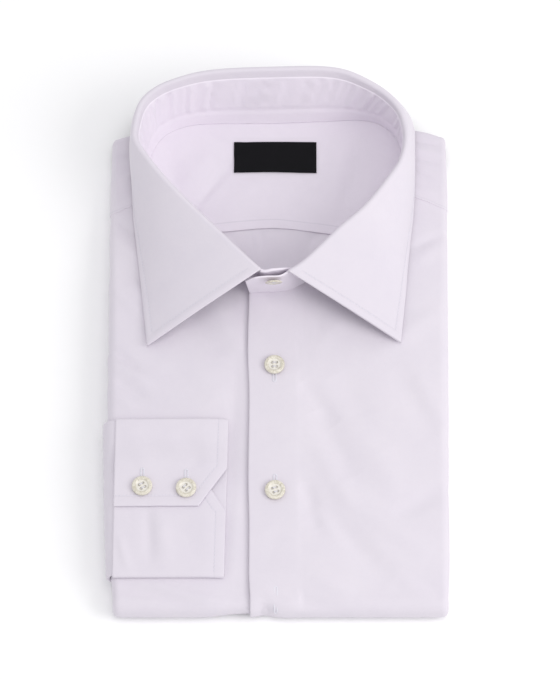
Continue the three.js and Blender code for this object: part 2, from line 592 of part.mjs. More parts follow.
// The cuff in section, as a path round its flattened loop: distance along the shirt and level above the front. It
// starts at the underlap's end, runs down to the bottom edge, back underneath, and over the top to the lap's end.
const CUFF_FOLD = (CUFF_LEVELS.over - CUFF_LEVELS.under) / 2;
const CUFF_PATH = (() => {
  const top = CUFF.hemTop.y;
  const bottom = CUFF.hemBottom.y;
  const middle = (CUFF_LEVELS.over + CUFF_LEVELS.under) / 2;
  const path = steps(CUFF.underlapY, bottom + CUFF_FOLD, 4).map((y) => ({ y, level: CUFF_LEVELS.over }));
  steps(0, Math.PI, 4).slice(1).forEach((angle) => {
    path.push({ y: bottom + CUFF_FOLD - CUFF_FOLD * Math.sin(angle), level: middle + CUFF_FOLD * Math.cos(angle) });
  });
  steps(bottom + CUFF_FOLD, top - CUFF_FOLD, 4).slice(1).forEach((y) => path.push({ y, level: CUFF_LEVELS.under }));
  steps(Math.PI, 0, 4).slice(1).forEach((angle) => {
    path.push({ y: top - CUFF_FOLD + CUFF_FOLD * Math.sin(angle), level: middle + CUFF_FOLD * Math.cos(angle) });
  });
  steps(top - CUFF_FOLD, CUFF.lapY, 7).slice(1).forEach((y) => {
    const climb = smooth(y, CUFF.underlapY + 4, CUFF.underlapY + CUFF.rise);
    path.push({ y, level: lerp(CUFF_LEVELS.lap, CUFF_LEVELS.over, climb) });
  });
  return path;
})();

// The hem's place at a step of that path: square, but for the corner cut off at either end.
function cuffHem(step) {
  const { y } = CUFF_PATH[step];
  const x = lerp(CUFF.hemBottom.x, CUFF.hemTop.x, (y - CUFF.hemBottom.y) / (CUFF.hemTop.y - CUFF.hemBottom.y));
  const isLap = step > CUFF_PATH.length / 2;
  const fromEnd = isLap ? y - CUFF.lapY : CUFF.underlapY - y;
  const isPly = isLap || step < 5;
  return isPly ? x - CUFF.mitre.across * clamp(1 - fromEnd / CUFF.mitre.along, 0, 1) : x;
}

function cuffFace(across, step) {
  const { y, level } = CUFF_PATH[step];
  const share = (y - CUFF.seamBottom.y) / (CUFF.seamTop.y - CUFF.seamBottom.y);
  const seamX = lerp(CUFF.seamBottom.x, CUFF.seamTop.x, share);
  const x = lerp(seamX, cuffHem(step), across);
  return new THREE.Vector3(x, y, frontUnderCuff(x, y) + level);
}

function rightCuff() {
  const path = CUFF_PATH.map((_, i) => i);
  const acrosses = [0, 0.25, 0.5, 0.75, 0.82, 0.88, 0.94, 1];
  return piece('right_cuff', middleWall(acrosses, path, cuffFace, CUFF_WALL), poplin);
}

// The cloth of the right front from the cuff's seam round the side fold (round 0 to 1) and into the fold (1 to 2):
// a point on it, and the way out of it there.
function roundLeftSide(round, y) {
  const radius = foldRadius(y);
  const centre = { x: leftSide(y) + radius, z: sideTop(y) - radius };
  const share = (y - CUFF.seamBottom.y) / (CUFF.seamTop.y - CUFF.seamBottom.y);
  const startX = lerp(CUFF.seamBottom.x, CUFF.seamTop.x, share) - SEAM_GAP;
  const flat = Math.max(startX - centre.x, 0);
  const startAngle = Math.asin(clamp((centre.x - startX) / radius, 0, 1));
  const arc = radius * (Math.PI - startAngle);
  const distance = clamp(round, 0, 1) * (flat + arc);
  if (distance < flat) {
    return { x: startX - distance, z: bodyTop(startX - distance, y), outX: 0, outZ: 1 };
  }
  const angle = startAngle + (distance - flat) / radius;
  const out = { outX: -Math.sin(angle), outZ: Math.cos(angle) };
  const inward = SLEEVE_REACH * clamp(round - 1, 0, 1);
  return { x: centre.x + radius * out.outX + inward, z: centre.z + radius * out.outZ, ...out };
}

function rightSleeve() {
  const ends = { low: CUFF.seamBottom.y + 2.5, high: CUFF.seamTop.y - 2.5 };
  const loop = [];
  steps(ends.low, ends.high, 8).forEach((y) => loop.push({ y, rise: 1, outY: 0 }));
  loop.push({ y: ends.high, rise: 0, outY: 1 });
  steps(ends.high, ends.low, 8).forEach((y) => loop.push({ y, rise: -1, outY: 0 }));
  loop.push({ y: ends.low, rise: 0, outY: -1 });
  loop.push({ ...loop[0] });
  const rounds = [...steps(0, 1, 7), 1.4, 2];
  const ply = (half) =>
    rounds.map((round) =>
      loop.map(({ y, rise, outY }) => {
        const cloth = roundLeftSide(round, y);
        const level = SLEEVE_LEVEL + rise * half;
        return new THREE.Vector3(cloth.x + cloth.outX * level, y + outY * half, cloth.z + cloth.outZ * level);
      }),
    );
  const outer = ply(SLEEVE_HALF + SLEEVE_WALL / 2);
  const inner = ply(SLEEVE_HALF - SLEEVE_WALL / 2);
  const merged = mergeVertices(withoutSeam(outer, inner), 1e-3);
  merged.computeVertexNormals();
  return piece('right_sleeve', merged, poplin);
}

// A tube's wall from two grids whose last column repeats the first: no faces close the seam between them.
function withoutSeam(outer, inner) {
  const rows = outer.length;
  const columns = outer[0].length - 1;
  const trim = (grid) => grid.map((row) => row.slice(0, columns));
  const points = [...trim(outer).flat(), ...trim(inner).flat()];
  const at = (side, row, column) => side * rows * columns + row * columns + (column % columns);
  const faces = [];
  const quad = (a, b, c, d) => faces.push(a, b, c, a, c, d);
  for (let c = 0; c < columns; c += 1) {
    for (let r = 0; r < rows - 1; r += 1) {
      quad(at(0, r, c), at(0, r, c + 1), at(0, r + 1, c + 1), at(0, r + 1, c));
      quad(at(1, r, c), at(1, r + 1, c), at(1, r + 1, c + 1), at(1, r, c + 1));
    }
    quad(at(0, 0, c), at(1, 0, c), at(1, 0, c + 1), at(0, 0, c + 1));
    quad(at(0, rows - 1, c), at(0, rows - 1, c + 1), at(1, rows - 1, c + 1), at(1, rows - 1, c));
  }
  return closedGeometry(points, faces);
}

// ---------------------------------------------------------------- hidden layers

// The core in section at y: half outline from the top's middle to the bottom's middle, on the side of the sign.
const CORE_DEPTH = 3.7; // below the body's top, under both fronts
const CORE_INSET = 17; // from the side fold's outermost line
const RIDGES = [
  { out: 0.6, down: 0.0 },
  { out: 0.0, down: 0.14 },
  { out: 1.9, down: 0.3 },
  { out: -0.7, down: 0.5 },
  { out: 1.6, down: 0.68 },
  { out: 0.3, down: 0.86 },
  { out: 0.9, down: 1.0 },
];
// Where the core's layers come out between the side folds: how far from the side line, on the left and right.
const TONGUE = [
  { y: -156, left: CORE_INSET, right: CORE_INSET },
  { y: -150, left: CORE_INSET, right: 9 },
  { y: -40, left: CORE_INSET, right: 8 },
  { y: -30, left: 8.5, right: 8 },
  { y: 70, left: 8.5, right: 8.5 },
  { y: 84, left: CORE_INSET, right: CORE_INSET },
];
const tongueLeft = through(TONGUE, 'y', 'left');
const tongueRight = through(TONGUE, 'y', 'right');

// The core's top: under the fronts, and in the neck under the back and the inner yoke.
function coreTop(x, y) {
  const underFronts = bodyTop(x, y) - CORE_DEPTH;
  if (y < BACK_SPAN.low - 4) return underFronts;
  const underBack = backTop(y) - CLOTH - SEAM_GAP;
  const underYoke = INNER_YOKE_FLOOR - CLOTH - 2 * SEAM_GAP;
  const hollow = y > 86 ? lerp(underYoke, 7.9, smooth(y, 96, 122)) : underBack;
  return Math.min(underFronts, hollow + 6 * smooth(Math.abs(x), 74, 84));
}

const CORE_ROWS = [
  { y: FOLD_Y, tilt: 82 },
  { y: FOLD_Y, tilt: 55 },
  { y: FOLD_Y, tilt: 25 },
  ...[-164, -156, -150, -120, -85, -55, -40, -29.5, -24, -10, 10, 32, 52, 70, 84.5, 88, 104, 120].map((y) => ({ y })),
];
// The tail's layers at the back, each ending further out than the one above.
const CORE_STEPS = [
  { y: 120.5, top: 6.6 },
  { y: 124.5, top: 6.4 },
  { y: 125.0, top: 5.2 },
  { y: 128.5, top: 5.0 },
  { y: 129.5, top: 4.4 },
];

function coreSection({ y, top, tilt = 0 }) {
  const turn = THREE.MathUtils.degToRad(tilt);
  const capRadius = FOLD_RADIUS - CORE_DEPTH;
  const rowY = y - capRadius * Math.sin(turn);
  const squeeze = (z) => (tilt > 0 ? FOLD_RADIUS + (z - FOLD_RADIUS) * Math.cos(turn) : z);
  const ceiling = (x) => Math.min(coreTop(x, y), top ?? Infinity);
  const half = (sign) => {
    const edge = sideLine(sign, y);
    const inner = edge - sign * CORE_INSET;
    const reach = edge - sign * (sign < 0 ? tongueLeft(y) : tongueRight(y));
    const high = Math.min(sideTop(y) - 2 * foldRadius(y) - SEAM_GAP, ceiling(inner) - 0.6);
    const low = Math.min(2 * UNDER_ROLL + SEAM_GAP, high - 0.6);
    const hasTongue = Math.abs(reach - inner) > 1;
    const points = [
      [sign * 30, ceiling(sign * 30)],
      [inner - sign * 12, ceiling(inner - sign * 12)],
      [inner, lerp(high, ceiling(inner), 0.8)],
      [inner, high],
    ];
    RIDGES.forEach(({ out, down }) => {
      const x = hasTongue ? reach - sign * out : inner + sign * (0.1 + 0.2 * Math.sin(Math.PI * down));
      points.push([x, lerp(high, low, clamp(down, 0.02, 0.98))]);
    });
    points.push([inner, low], [inner, low - 0.3]);
    const sole = sign < 0 ? [[inner, 1.5], [-56, 1.5], [-46, 3.8]] : [[inner, 1.5], [26, 1.5], [16, 3.8]];
    return [...points, ...sole];
  };
  const right = half(1);
  const left = half(-1);
  return [[0, ceiling(0)], ...right, ...left.reverse()].map(
    ([x, z]) => new THREE.Vector3(x, rowY, squeeze(z)),
  );
}

function foldedLayers() {
  const sections = [...CORE_ROWS, ...CORE_STEPS].map(coreSection);
  const columns = sections[0].length;
  const points = sections.flat();
  const faces = [];
  sections.slice(1).forEach((_, r) => {
    for (let c = 0; c < columns; c += 1) {
      const next = (c + 1) % columns;
      const [a, b] = [r * columns + c, r * columns + next];
      faces.push(a, b, b + columns, a, b + columns, a + columns);
    }
  });
  [0, sections.length - 1].forEach((r) => {
    const middle = new THREE.Vector3();
    sections[r].forEach((p) => middle.add(p));
    middle.divideScalar(columns);
    const outward = r === 0 ? -0.4 : 0.4;
    points.push(middle.setY(middle.y + outward));
    for (let c = 0; c < columns; c += 1) {
      const next = (c + 1) % columns;
      const [a, b] = [r * columns + c, r * columns + next];
      faces.push(...(r === 0 ? [points.length - 1, b, a] : [points.length - 1, a, b]));
    }
  });
  return piece('folded_layers', closedGeometry(points, faces), poplinInside);
}

// ---------------------------------------------------------------- buttons

// A four-hole button standing on z = 0: a rounded edge, a raised rim and a dished middle.
function buttonGeometry() {
  const { radius, thickness, dish, rim } = BUTTON;
  const profile = [
    [0, 0],
    [radius - 1.3, 0],
    [radius - 0.3, 0.5],
    [radius, 1.1],
    [radius - 0.4, thickness - 0.3],
    [radius - 1.0, thickness],
    [radius - rim - 0.3, thickness - 0.15],
    [radius - rim - 1.1, thickness - dish],
    [0, thickness - dish],
  ].map(([r, z]) => new THREE.Vector2(r, z));
  const body = new THREE.LatheGeometry(profile, 20).rotateX(Math.PI / 2);
  const hole = new THREE.CylinderGeometry(BUTTON.holeRadius, BUTTON.holeRadius, 4 * thickness, 6).rotateX(Math.PI / 2);
  let solid = toManifold(body);
  [-1, 1].forEach((i) => {
    [-1, 1].forEach((j) => {
      const at = hole.clone().translate(i * BUTTON.holeSpacing, j * BUTTON.holeSpacing, 0);
      solid = solid.subtract(toManifold(at));
    });
  });
  return fromManifold(solid);
}

function toManifold(geometry) {
  const bare = geometry.clone();
  bare.deleteAttribute('normal');
  bare.deleteAttribute('uv');
  const merged = mergeVertices(bare, 1e-4);
  const kept = [];
  const index = merged.index.array;
  for (let i = 0; i < index.length; i += 3) {
    const [a, b, c] = [index[i], index[i + 1], index[i + 2]];
    if (a !== b && b !== c && a !== c) kept.push(a, b, c);
  }
  const mesh = new wasm.Mesh({
    numProp: 3,
    vertProperties: new Float32Array(merged.attributes.position.array),
    triVerts: new Uint32Array(kept),
  });
  const solid = new wasm.Manifold(mesh);
  if (solid.volume() > 0) return solid;
  for (let i = 0; i < kept.length; i += 3) [kept[i], kept[i + 1]] = [kept[i + 1], kept[i]];
  mesh.triVerts = new Uint32Array(kept);
  return new wasm.Manifold(mesh);
}

function fromManifold(solid) {
  const mesh = solid.getMesh();
  const geometry = new THREE.BufferGeometry();
  geometry.setAttribute('position', new THREE.BufferAttribute(new Float32Array(mesh.vertProperties), 3));
  geometry.setIndex(new THREE.BufferAttribute(new Uint32Array(mesh.triVerts), 1));
  geometry.computeVertexNormals();
  return geometry;
}

// A button whose back lies the seam gap off a surface point, facing along its normal.
function button(name, geometry, seat, normal, turn, scale = 1) {
  const mesh = piece(name, geometry, shell);
  mesh.position.copy(seat).addScaledVector(normal, SEAM_GAP);
  mesh.quaternion.setFromUnitVectors(new THREE.Vector3(0, 0, 1), normal);
  mesh.rotateZ(turn);
  mesh.scale.setScalar(scale);
  return mesh;
}

// The way out of a height field at a point.
function fieldNormal(field, x, y) {
  const run = 3;
  const slopeX = (field(x + run, y) - field(x - run, y)) / (2 * run);
  const slopeY = (field(x, y + run) - field(x, y - run)) / (2 * run);
  return new THREE.Vector3(-slopeX, -slopeY, 1).normalize();
}

function buttons() {
  const geometry = buttonGeometry();
  const lapLevel = CUFF_LEVELS.lap + CUFF_WALL / 2;
  const onFront = FRONT_BUTTONS.map(({ name, x, y, turn }) =>
    button(name, geometry, new THREE.Vector3(x, y, bodyTop(x, y)), fieldNormal(bodyTop, x, y), turn),
  );
  const onCuff = CUFF_BUTTONS.map(({ name, x, y, turn }) => {
    const seat = new THREE.Vector3(x, y, frontUnderCuff(x, y) + lapLevel);
    return button(name, geometry, seat, fieldNormal(frontUnderCuff, x, y), turn);
  });
  const [under, beside] = [BAND[BAND.length - 4], BAND[BAND.length - 3]];
  const share = (under.foot.x - COLLAR_BUTTON.x) / (under.foot.x - beside.foot.x);
  const foot = under.foot.clone().lerp(beside.foot, share);
  const top = under.top.clone().lerp(beside.top, share);
  const along = new THREE.Vector3().subVectors(under.foot, beside.foot);
  const facing = along.cross(top.clone().sub(foot)).normalize();
  const seat = foot.lerp(top, COLLAR_BUTTON.up).addScaledVector(facing, STAND_WALL / 2);
  return [...onFront, ...onCuff, button('collar_button', geometry, seat, facing, COLLAR_BUTTON.turn, COLLAR_BUTTON.scale)];
}

// ---------------------------------------------------------------- the shirt

const shirt = new THREE.Group();
shirt.add(
  foldedLayers(),
  back(),
  innerYoke(),
  label(),
  yoke(),
  rightFront(),
  leftFront(),
  collarStand(),
  collarLeaf(),
  rightSleeve(),
  rightCuff(),
  ...buttons(),
);

// The origin goes to the middle of the footprint, on the table.
const bounds = new THREE.Box3().setFromObject(shirt, true);
shirt.position.set(-(bounds.min.x + bounds.max.x) / 2, -(bounds.min.y + bounds.max.y) / 2, -bounds.min.z);

export default shirt;
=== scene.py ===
# %% [markdown]
# # A folded poplin shirt
#
# A dress shirt, buttoned and folded for a shelf, is a stack of pressed cloth with one standing form on it:
# the collar. Nearly everything here is therefore a sheet that follows a simple rule, and each rule is a
# function of two parameters, worked out with numpy on a fine grid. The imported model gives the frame: each
# cloth piece and button replaces the solid of the same part and stays where that solid is. Threads and
# stitches are added to them.

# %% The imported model
import math

import bpy
import numpy as np
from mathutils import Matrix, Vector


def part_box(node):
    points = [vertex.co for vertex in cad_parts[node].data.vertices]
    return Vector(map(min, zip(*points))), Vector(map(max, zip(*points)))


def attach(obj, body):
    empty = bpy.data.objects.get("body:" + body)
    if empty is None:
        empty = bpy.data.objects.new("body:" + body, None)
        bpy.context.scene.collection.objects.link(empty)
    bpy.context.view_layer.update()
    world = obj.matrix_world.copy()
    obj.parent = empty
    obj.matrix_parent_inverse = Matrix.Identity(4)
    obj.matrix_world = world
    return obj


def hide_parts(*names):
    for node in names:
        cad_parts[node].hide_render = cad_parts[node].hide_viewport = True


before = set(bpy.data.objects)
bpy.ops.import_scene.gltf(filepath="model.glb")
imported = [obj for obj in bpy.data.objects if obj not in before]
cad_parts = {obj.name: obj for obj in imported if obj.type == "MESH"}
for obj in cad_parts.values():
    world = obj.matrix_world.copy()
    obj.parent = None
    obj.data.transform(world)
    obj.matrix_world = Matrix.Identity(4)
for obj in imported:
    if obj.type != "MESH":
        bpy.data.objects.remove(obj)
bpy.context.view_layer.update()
print("solids:", len(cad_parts))

# %% [markdown]
# ## The layout frame
#
# A pattern maker measures a shirt from its own middle. The tables below are in millimetres in such a frame,
# with its origin on the table under the chest, +Y towards the collar and +X towards the wearer's left
# front. Two boxes of the model say how far that frame lies from the model's own.

# %% From layout millimetres to the model's metres
LABEL = {"left": -28.3, "right": 22.4, "low": 117.3, "high": 138.4, "thickness": 1.0}
BOTTOM_LINE = -173.0
label_low, label_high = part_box("label")
front_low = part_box("left_front")[0]
SHIFT = np.array([
    500 * (label_low.x + label_high.x) - (LABEL["left"] + LABEL["right"]) / 2,
    1000 * front_low.y - BOTTOM_LINE,
    0.0,
])


def to_model(points):
    """Layout millimetres to metres in the model's frame."""
    return (points + SHIFT) / 1000.0


print("layout origin in the model, mm:", SHIFT.round(2))

# %% [markdown]
# ## Smooth tables
#
# A folded shirt has few straight lines, but a handful of measured rows describe each of them. Two kinds of
# curve run through the rows: one for a height or width that must not overshoot, and one for a line in
# space.

# %% Curves through rows
def steps(*runs):
    """Even steps along runs that follow on, each from, to and its number of points, with every join once."""
    return np.concatenate([np.linspace(*runs[0])] + [np.linspace(*run)[1:] for run in runs[1:]])


def span_grid(span, columns, rows):
    """Grids of x and y over a span's left, right, low and high."""
    across = np.linspace(span["left"], span["right"], columns)
    return np.meshgrid(across, np.linspace(span["low"], span["high"], rows))


def smooth(x, low, high):
    """0 below low, 1 above high, and 3t^2 - 2t^3 between."""
    t = np.clip((x - low) / (high - low), 0.0, 1.0)
    return t * t * (3.0 - 2.0 * t)


def mix(a, b, t):
    """a where t is 0, b where t is 1."""
    return a + (b - a) * t


def unit(v):
    """Vectors of length one."""
    return v / np.maximum(np.linalg.norm(v, axis=-1, keepdims=True), 1e-9)


def through(keys, values):
    """A cubic through rows. Its slopes are the harmonic mean of their neighbours', so it never overshoots."""
    keys = np.asarray(keys, float)
    values = np.asarray(values, float)
    slope = np.diff(values) / np.diff(keys)
    tangent = np.zeros(len(keys))
    before, after = slope[:-1], slope[1:]
    turning = before * after <= 0
    total = np.where(turning, 1.0, before + after)
    tangent[1:-1] = np.where(turning, 0.0, 2 * before * after / total)

    def at(k):
        k = np.clip(k, keys[0], keys[-1])
        i = np.clip(np.searchsorted(keys, k, side="right") - 1, 0, len(keys) - 2)
        span = keys[i + 1] - keys[i]
        t = (k - keys[i]) / span
        start = (1 + 2 * t) * (1 - t) ** 2 * values[i] + t * (1 - t) ** 2 * span * tangent[i]
        return start + t * t * (3 - 2 * t) * values[i + 1] - t * t * (1 - t) * span * tangent[i + 1]

    return at


def line_through(points):
    """A centripetal Catmull-Rom line through points, read by row number."""
    p = np.asarray(points, float)
    p = np.vstack([2 * p[0] - p[1], p, 2 * p[-1] - p[-2]])
    step = np.sum(np.diff(p, axis=0) ** 2, axis=1) ** 0.25
    count = len(p) - 2

    def at(s):
        s = np.clip(np.asarray(s, float), 0, count - 1)
        i = np.minimum(s.astype(int), count - 2)
        t = (s - i)[..., None]
        a, b, c, d = p[i], p[i + 1], p[i + 2], p[i + 3]
        u, v, w = (step[i + k][..., None] for k in range(3))
        m = ((b - a) / u - (c - a) / (u + v) + (c - b) / v) * v
        n = ((c - b) / v - (d - b) / (v + w) + (d - c) / w) * v
        return b + m * t + (3 * (c - b) - 2 * m - n) * t**2 + (2 * (b - c) + m + n) * t**3

    return at


# %% [markdown]
# ## A sheet of cloth as a mesh
#
# A real sheet has two faces and a turned edge. Each piece is a grid of points for the face that shows and
# one for the face behind it, and a half-round rim joins them, so that an edge catches the light as folded
# cloth does and not as a cut board. A plain grid keeps the faces square and even, which suits creases
# better than a carved shape would.

# %% Two grids and a rim
NO_STITCH = 99.0


def normals_of(grid, facing):
    """Unit normals: rows' direction x columns' direction, times facing, which is 1 or -1."""
    return facing * unit(np.cross(np.gradient(grid, axis=0), np.gradient(grid, axis=1)))


def border_of(rows, columns):
    """The border once round: rows and columns of its points, and of the points just inside them."""
    down, up = np.arange(1, rows), np.arange(rows - 2, 0, -1)
    back = np.arange(columns - 2, -1, -1)
    r = np.concatenate([np.zeros(columns), down, np.full(columns - 1, rows - 1), up])
    c = np.concatenate([np.arange(columns), np.full(rows - 1, columns - 1), back, np.zeros(rows - 2)])
    r, c = r.astype(int), c.astype(int)
    return r, c, np.clip(r, 1, rows - 2), np.clip(c, 1, columns - 2)


def run_lengths(grid):
    """Cloth coordinates in millimetres: mean distances along the columns and along the rows of a grid."""
    across = np.linalg.norm(np.diff(grid, axis=1), axis=2).mean(0)
    along = np.linalg.norm(np.diff(grid, axis=0), axis=2).mean(1)
    u = np.concatenate([[0.0], np.cumsum(across)])
    v = np.concatenate([[0.0], np.cumsum(along)])
    return np.broadcast_to(u, grid.shape[:2]), np.broadcast_to(v[:, None], grid.shape[:2])


def sheet_mesh(name, outer, inner, stitch=None, ring=False, rim=3):
    """A closed sheet: outer and inner grids, with rim points of a half circle between their borders.

    ring joins the last column to the first. stitch is the signed distance in mm to a line of stitching."""
    rows, columns = outer.shape[:2]
    if ring:
        across = np.arange(columns)
        loops = [(np.zeros(columns, int), across, np.ones(columns, int), across)]
        loops.append((np.full(columns, rows - 1), across, np.full(columns, rows - 2), across))
    else:
        loops = [border_of(rows, columns)]
    points = [outer.reshape(-1, 3).copy(), inner.reshape(-1, 3).copy()]
    count = rows * columns
    last = columns if ring else columns - 1
    r, c = np.meshgrid(np.arange(rows - 1), np.arange(last), indexing="ij")
    a, b = (r * columns + c).ravel(), (r * columns + (c + 1) % columns).ravel()
    quads = [np.column_stack([a, b, b + columns, a + columns])]
    quads.append(np.column_stack([a, a + columns, b + columns, b]) + count)
    u, v = run_lengths(outer)
    unstitched = np.full(outer.shape[:2], NO_STITCH)
    stitch = unstitched if stitch is None else stitch
    layers = [np.stack([u, v, line], -1).reshape(-1, 3) for line in (stitch, unstitched)]
    base = 2 * count
    for number, (row, column, inside_row, inside_column) in enumerate(loops):
        index = row * columns + column
        inside = inside_row * columns + inside_column
        half = (points[0][index] - points[1][index]) / 2
        thick = np.linalg.norm(half, axis=1, keepdims=True)
        gap = outer[row, column] - outer[inside_row, inside_column]
        out = unit(gap - half * np.sum(gap * half, axis=1, keepdims=True) / np.maximum(thick, 1e-6) ** 2)
        inset = np.minimum(thick, 0.6 * np.linalg.norm(gap, axis=1, keepdims=True))
        points[0][index] -= out * inset
        points[1][index] -= out * inset
        middle = (points[0][index] + points[1][index]) / 2
        ring_index = [index]
        for k in range(1, rim + 1):
            angle = math.pi * k / (rim + 1)
            points.append(middle + half * math.cos(angle) + out * inset * math.sin(angle))
            layers.append(layers[0][index] * [1, 1, 0] + [0, 0, NO_STITCH])
            ring_index.append(base + np.arange(len(index)))
            base += len(index)
        ring_index.append(index + count)
        for low, high in zip(ring_index[:-1], ring_index[1:]):
            low_next, high_next = np.roll(low, -1), np.roll(high, -1)
            quad = np.column_stack([low, high, high_next, low_next])
            quads.append(quad if number == 0 else quad[:, ::-1])
    return build_mesh(name, np.vstack(points), np.vstack(quads), np.vstack(layers))


def build_mesh(name, points, quads, layers=None):
    """A mesh object from points in layout millimetres, turned so that its faces point out."""
    corner = points[quads]
    first = np.cross(corner[:, 1] - corner[:, 0], corner[:, 2] - corner[:, 0])
    second = np.cross(corner[:, 2] - corner[:, 0], corner[:, 3] - corner[:, 0])
    volume = np.sum(corner[:, 0] * (first + second)) / 6
    if volume < 0:
        quads = quads[:, ::-1]
    mesh = bpy.data.meshes.new(name)
    mesh.from_pydata(to_model(points).tolist(), [], quads.tolist())
    mesh.polygons.foreach_set("use_smooth", np.ones(len(quads), bool))
    if layers is not None:
        uv = mesh.uv_layers.new(name="cloth")
        corners = quads.ravel()
        uv.data.foreach_set("uv", (layers[corners, :2] / 1000.0).astype(np.float32).ravel())
        attribute = mesh.attributes.new("stitch_mm", "FLOAT", "POINT")
        attribute.data.foreach_set("value", layers[:, 2].astype(np.float32))
    mesh.update()
    piece = bpy.data.objects.new(name, mesh)
    bpy.context.scene.collection.objects.link(piece)
    area = np.linalg.norm(first, axis=1).sum() / 2 + np.linalg.norm(second, axis=1).sum() / 2
    print(f"{name}: {len(quads)} faces, {area / 2e6:.4f} m2 of cloth")
    return piece


def turned_quads(rows, columns):
    """Faces of a tube of closed rows, an even number of points in each, with a flat lid at either end."""
    r, c = np.meshgrid(np.arange(rows - 1), np.arange(columns), indexing="ij")
    a, b = (r * columns + c).ravel(), (r * columns + (c + 1) % columns).ravel()
    sides = np.column_stack([a, a + columns, b + columns, b])
    lids = []
    for end, way in ((0, 1), (rows - 1, -1)):
        k = np.arange(columns // 2 - 1)
        first, mate = end * columns + k, end * columns + columns - 1 - k
        lids.append(np.column_stack([first, first + 1, mate - 1, mate])[:, ::way])
    return np.vstack([sides, *lids])


def place(piece, material, slot, *nodes):
    """Gives a piece its material and its place in the frame."""
    piece.data.materials.append(material)
    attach(piece, "root")
    if nodes:
        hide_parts(*nodes)
    return piece


# %% [markdown]
# ## Creases and waves
#
# Pressed poplin keeps shallow creases: soft troughs and ridges from about half a millimetre to a little
# over two, most of them slanting, none of them even. Each is a row of a table, a line with a width and a
# height, and a few long waves lie under them. They are placed one by one, because noise alone gives cloth
# the look of plaster.

# %% Relief of a pressed sheet
def creases(x, y, rows):
    """Sum of ridges: height times exp(-(distance/width)^2) round each line, fading towards its ends."""
    total = np.zeros(np.broadcast(x, y).shape)
    for x0, y0, x1, y1, width, height in rows:
        run = (x1 - x0) ** 2 + (y1 - y0) ** 2
        t = ((x - x0) * (x1 - x0) + (y - y0) * (y1 - y0)) / run
        inside = np.clip(t, 0.0, 1.0)
        away = np.hypot(x - x0 - inside * (x1 - x0), y - y0 - inside * (y1 - y0))
        total += height * np.exp(-((away / width) ** 2)) * np.sqrt(np.sin(np.pi * np.clip(t, 0.02, 0.98)))
    return total


def waves(x, y, seed, lengths, height):
    """Sum of sines in random directions, one for each wavelength in lengths, each as high as height says."""
    draw = np.random.default_rng(seed)
    total = np.zeros(np.broadcast(x, y).shape)
    for length in lengths:
        angle, phase = draw.uniform(0, 2 * math.pi, 2)
        total += np.sin(2 * math.pi * (x * math.cos(angle) + y * math.sin(angle)) / length + phase)
    return height * total / math.sqrt(len(lengths))


# %% [markdown]
# ## The folded body's form
#
# The stack is highest along the middle of the chest, where the collar band and the placket lie on each
# other, and falls away to the sides and to the shoulders. Both sides are folded in with a radius of a few
# millimetres, and the tail is turned under along the bottom.

# %% Sizes of the folded body
CLOTH = 1.2
GAP = 0.3
PLACKET_WIDTH = 30.5
UNDERLAP_DROP = 2.1
UNDERLAP_EDGE = 13.0
FOLD_Y = -164.0
FOLD_RADIUS = 9.0
FOLD_SQUARE = 2.4
PLACKET_STEP = 0.15
HEM_Y = 126.0
UNDER_ROLL = 3.7
UNDER_INSET = 1.2
FLAP = 10.0
CROWN_REACH = 98.0

BODY = np.array([
    # y, height at the middle, height at the sides, radius of the side folds
    (-164, 18.0, 18.0, 4.2),
    (-150, 20.6, 20.0, 4.5),
    (-120, 23.6, 22.4, 5.0),
    (-60, 26.0, 24.4, 5.8),
    (0, 27.3, 24.6, 5.9),
    (28, 27.8, 23.6, 5.6),
    (60, 25.4, 20.8, 4.9),
    (90, 20.6, 17.2, 4.1),
    (112, 17.0, 15.0, 3.4),
    (137, 14.0, 13.5, 2.7),
    (152, 10.8, 12.0, 2.7),
    (160, 10.5, 11.5, 2.7),
])
SIDES = np.array([
    # y, left, right
    (-173, -97.6, 98.6),
    (-150, -99.2, 99.2),
    (-100, -101.2, 99.8),
    (-41, -102.7, 100.4),
    (26, -103.0, 101.1),
    (100, -103.2, 101.8),
    (138, -103.2, 102.0),
])
PLACKET_EDGE = np.array([
    # y, x
    (-173, -17.2),
    (-150, -18.3),
    (-125, -18.2),
    (-90, -18.9),
    (-40, -18.4),
    (-8, -19.4),
    (28, -18.8),
])
middle_top = through(BODY[:, 0], BODY[:, 1])
side_top = through(BODY[:, 0], BODY[:, 2])
fold_radius = through(BODY[:, 0], BODY[:, 3])
left_side = through(SIDES[:, 0], SIDES[:, 1])
right_side = through(SIDES[:, 0], SIDES[:, 2])
placket_edge = through(PLACKET_EDGE[:, 0], PLACKET_EDGE[:, 1])


def side_line(sign, y):
    """The outermost line of the left fold, sign -1, or of the right one, sign 1."""
    return left_side(y) if sign < 0 else right_side(y)


def body_top(x, y):
    """Height of the top: the middle's, falling to the sides' with the square of the distance between."""
    across = np.clip(np.abs(x) / CROWN_REACH, 0.0, 1.0)
    return mix(middle_top(y), side_top(y), across**2)


def underlap_drop(x):
    """How far the right front lies lower where it passes under the placket."""
    return UNDERLAP_DROP * smooth(x, -46.0, -22.0)


print("height of the stack, mm:", float(middle_top(28.0)))

# %% [markdown]
# ## The neck seam and the collar's lines
#
# A collar is two pieces: a stand, which follows the neck seam, and a leaf, which is sewn to the stand's top
# and folds down over it. One table holds them both, a row for each place round the neck: the seam, the
# crest of the fold and the leaf's outer edge. The stand's two bare ends overlap at the front, where the
# collar button holds them.

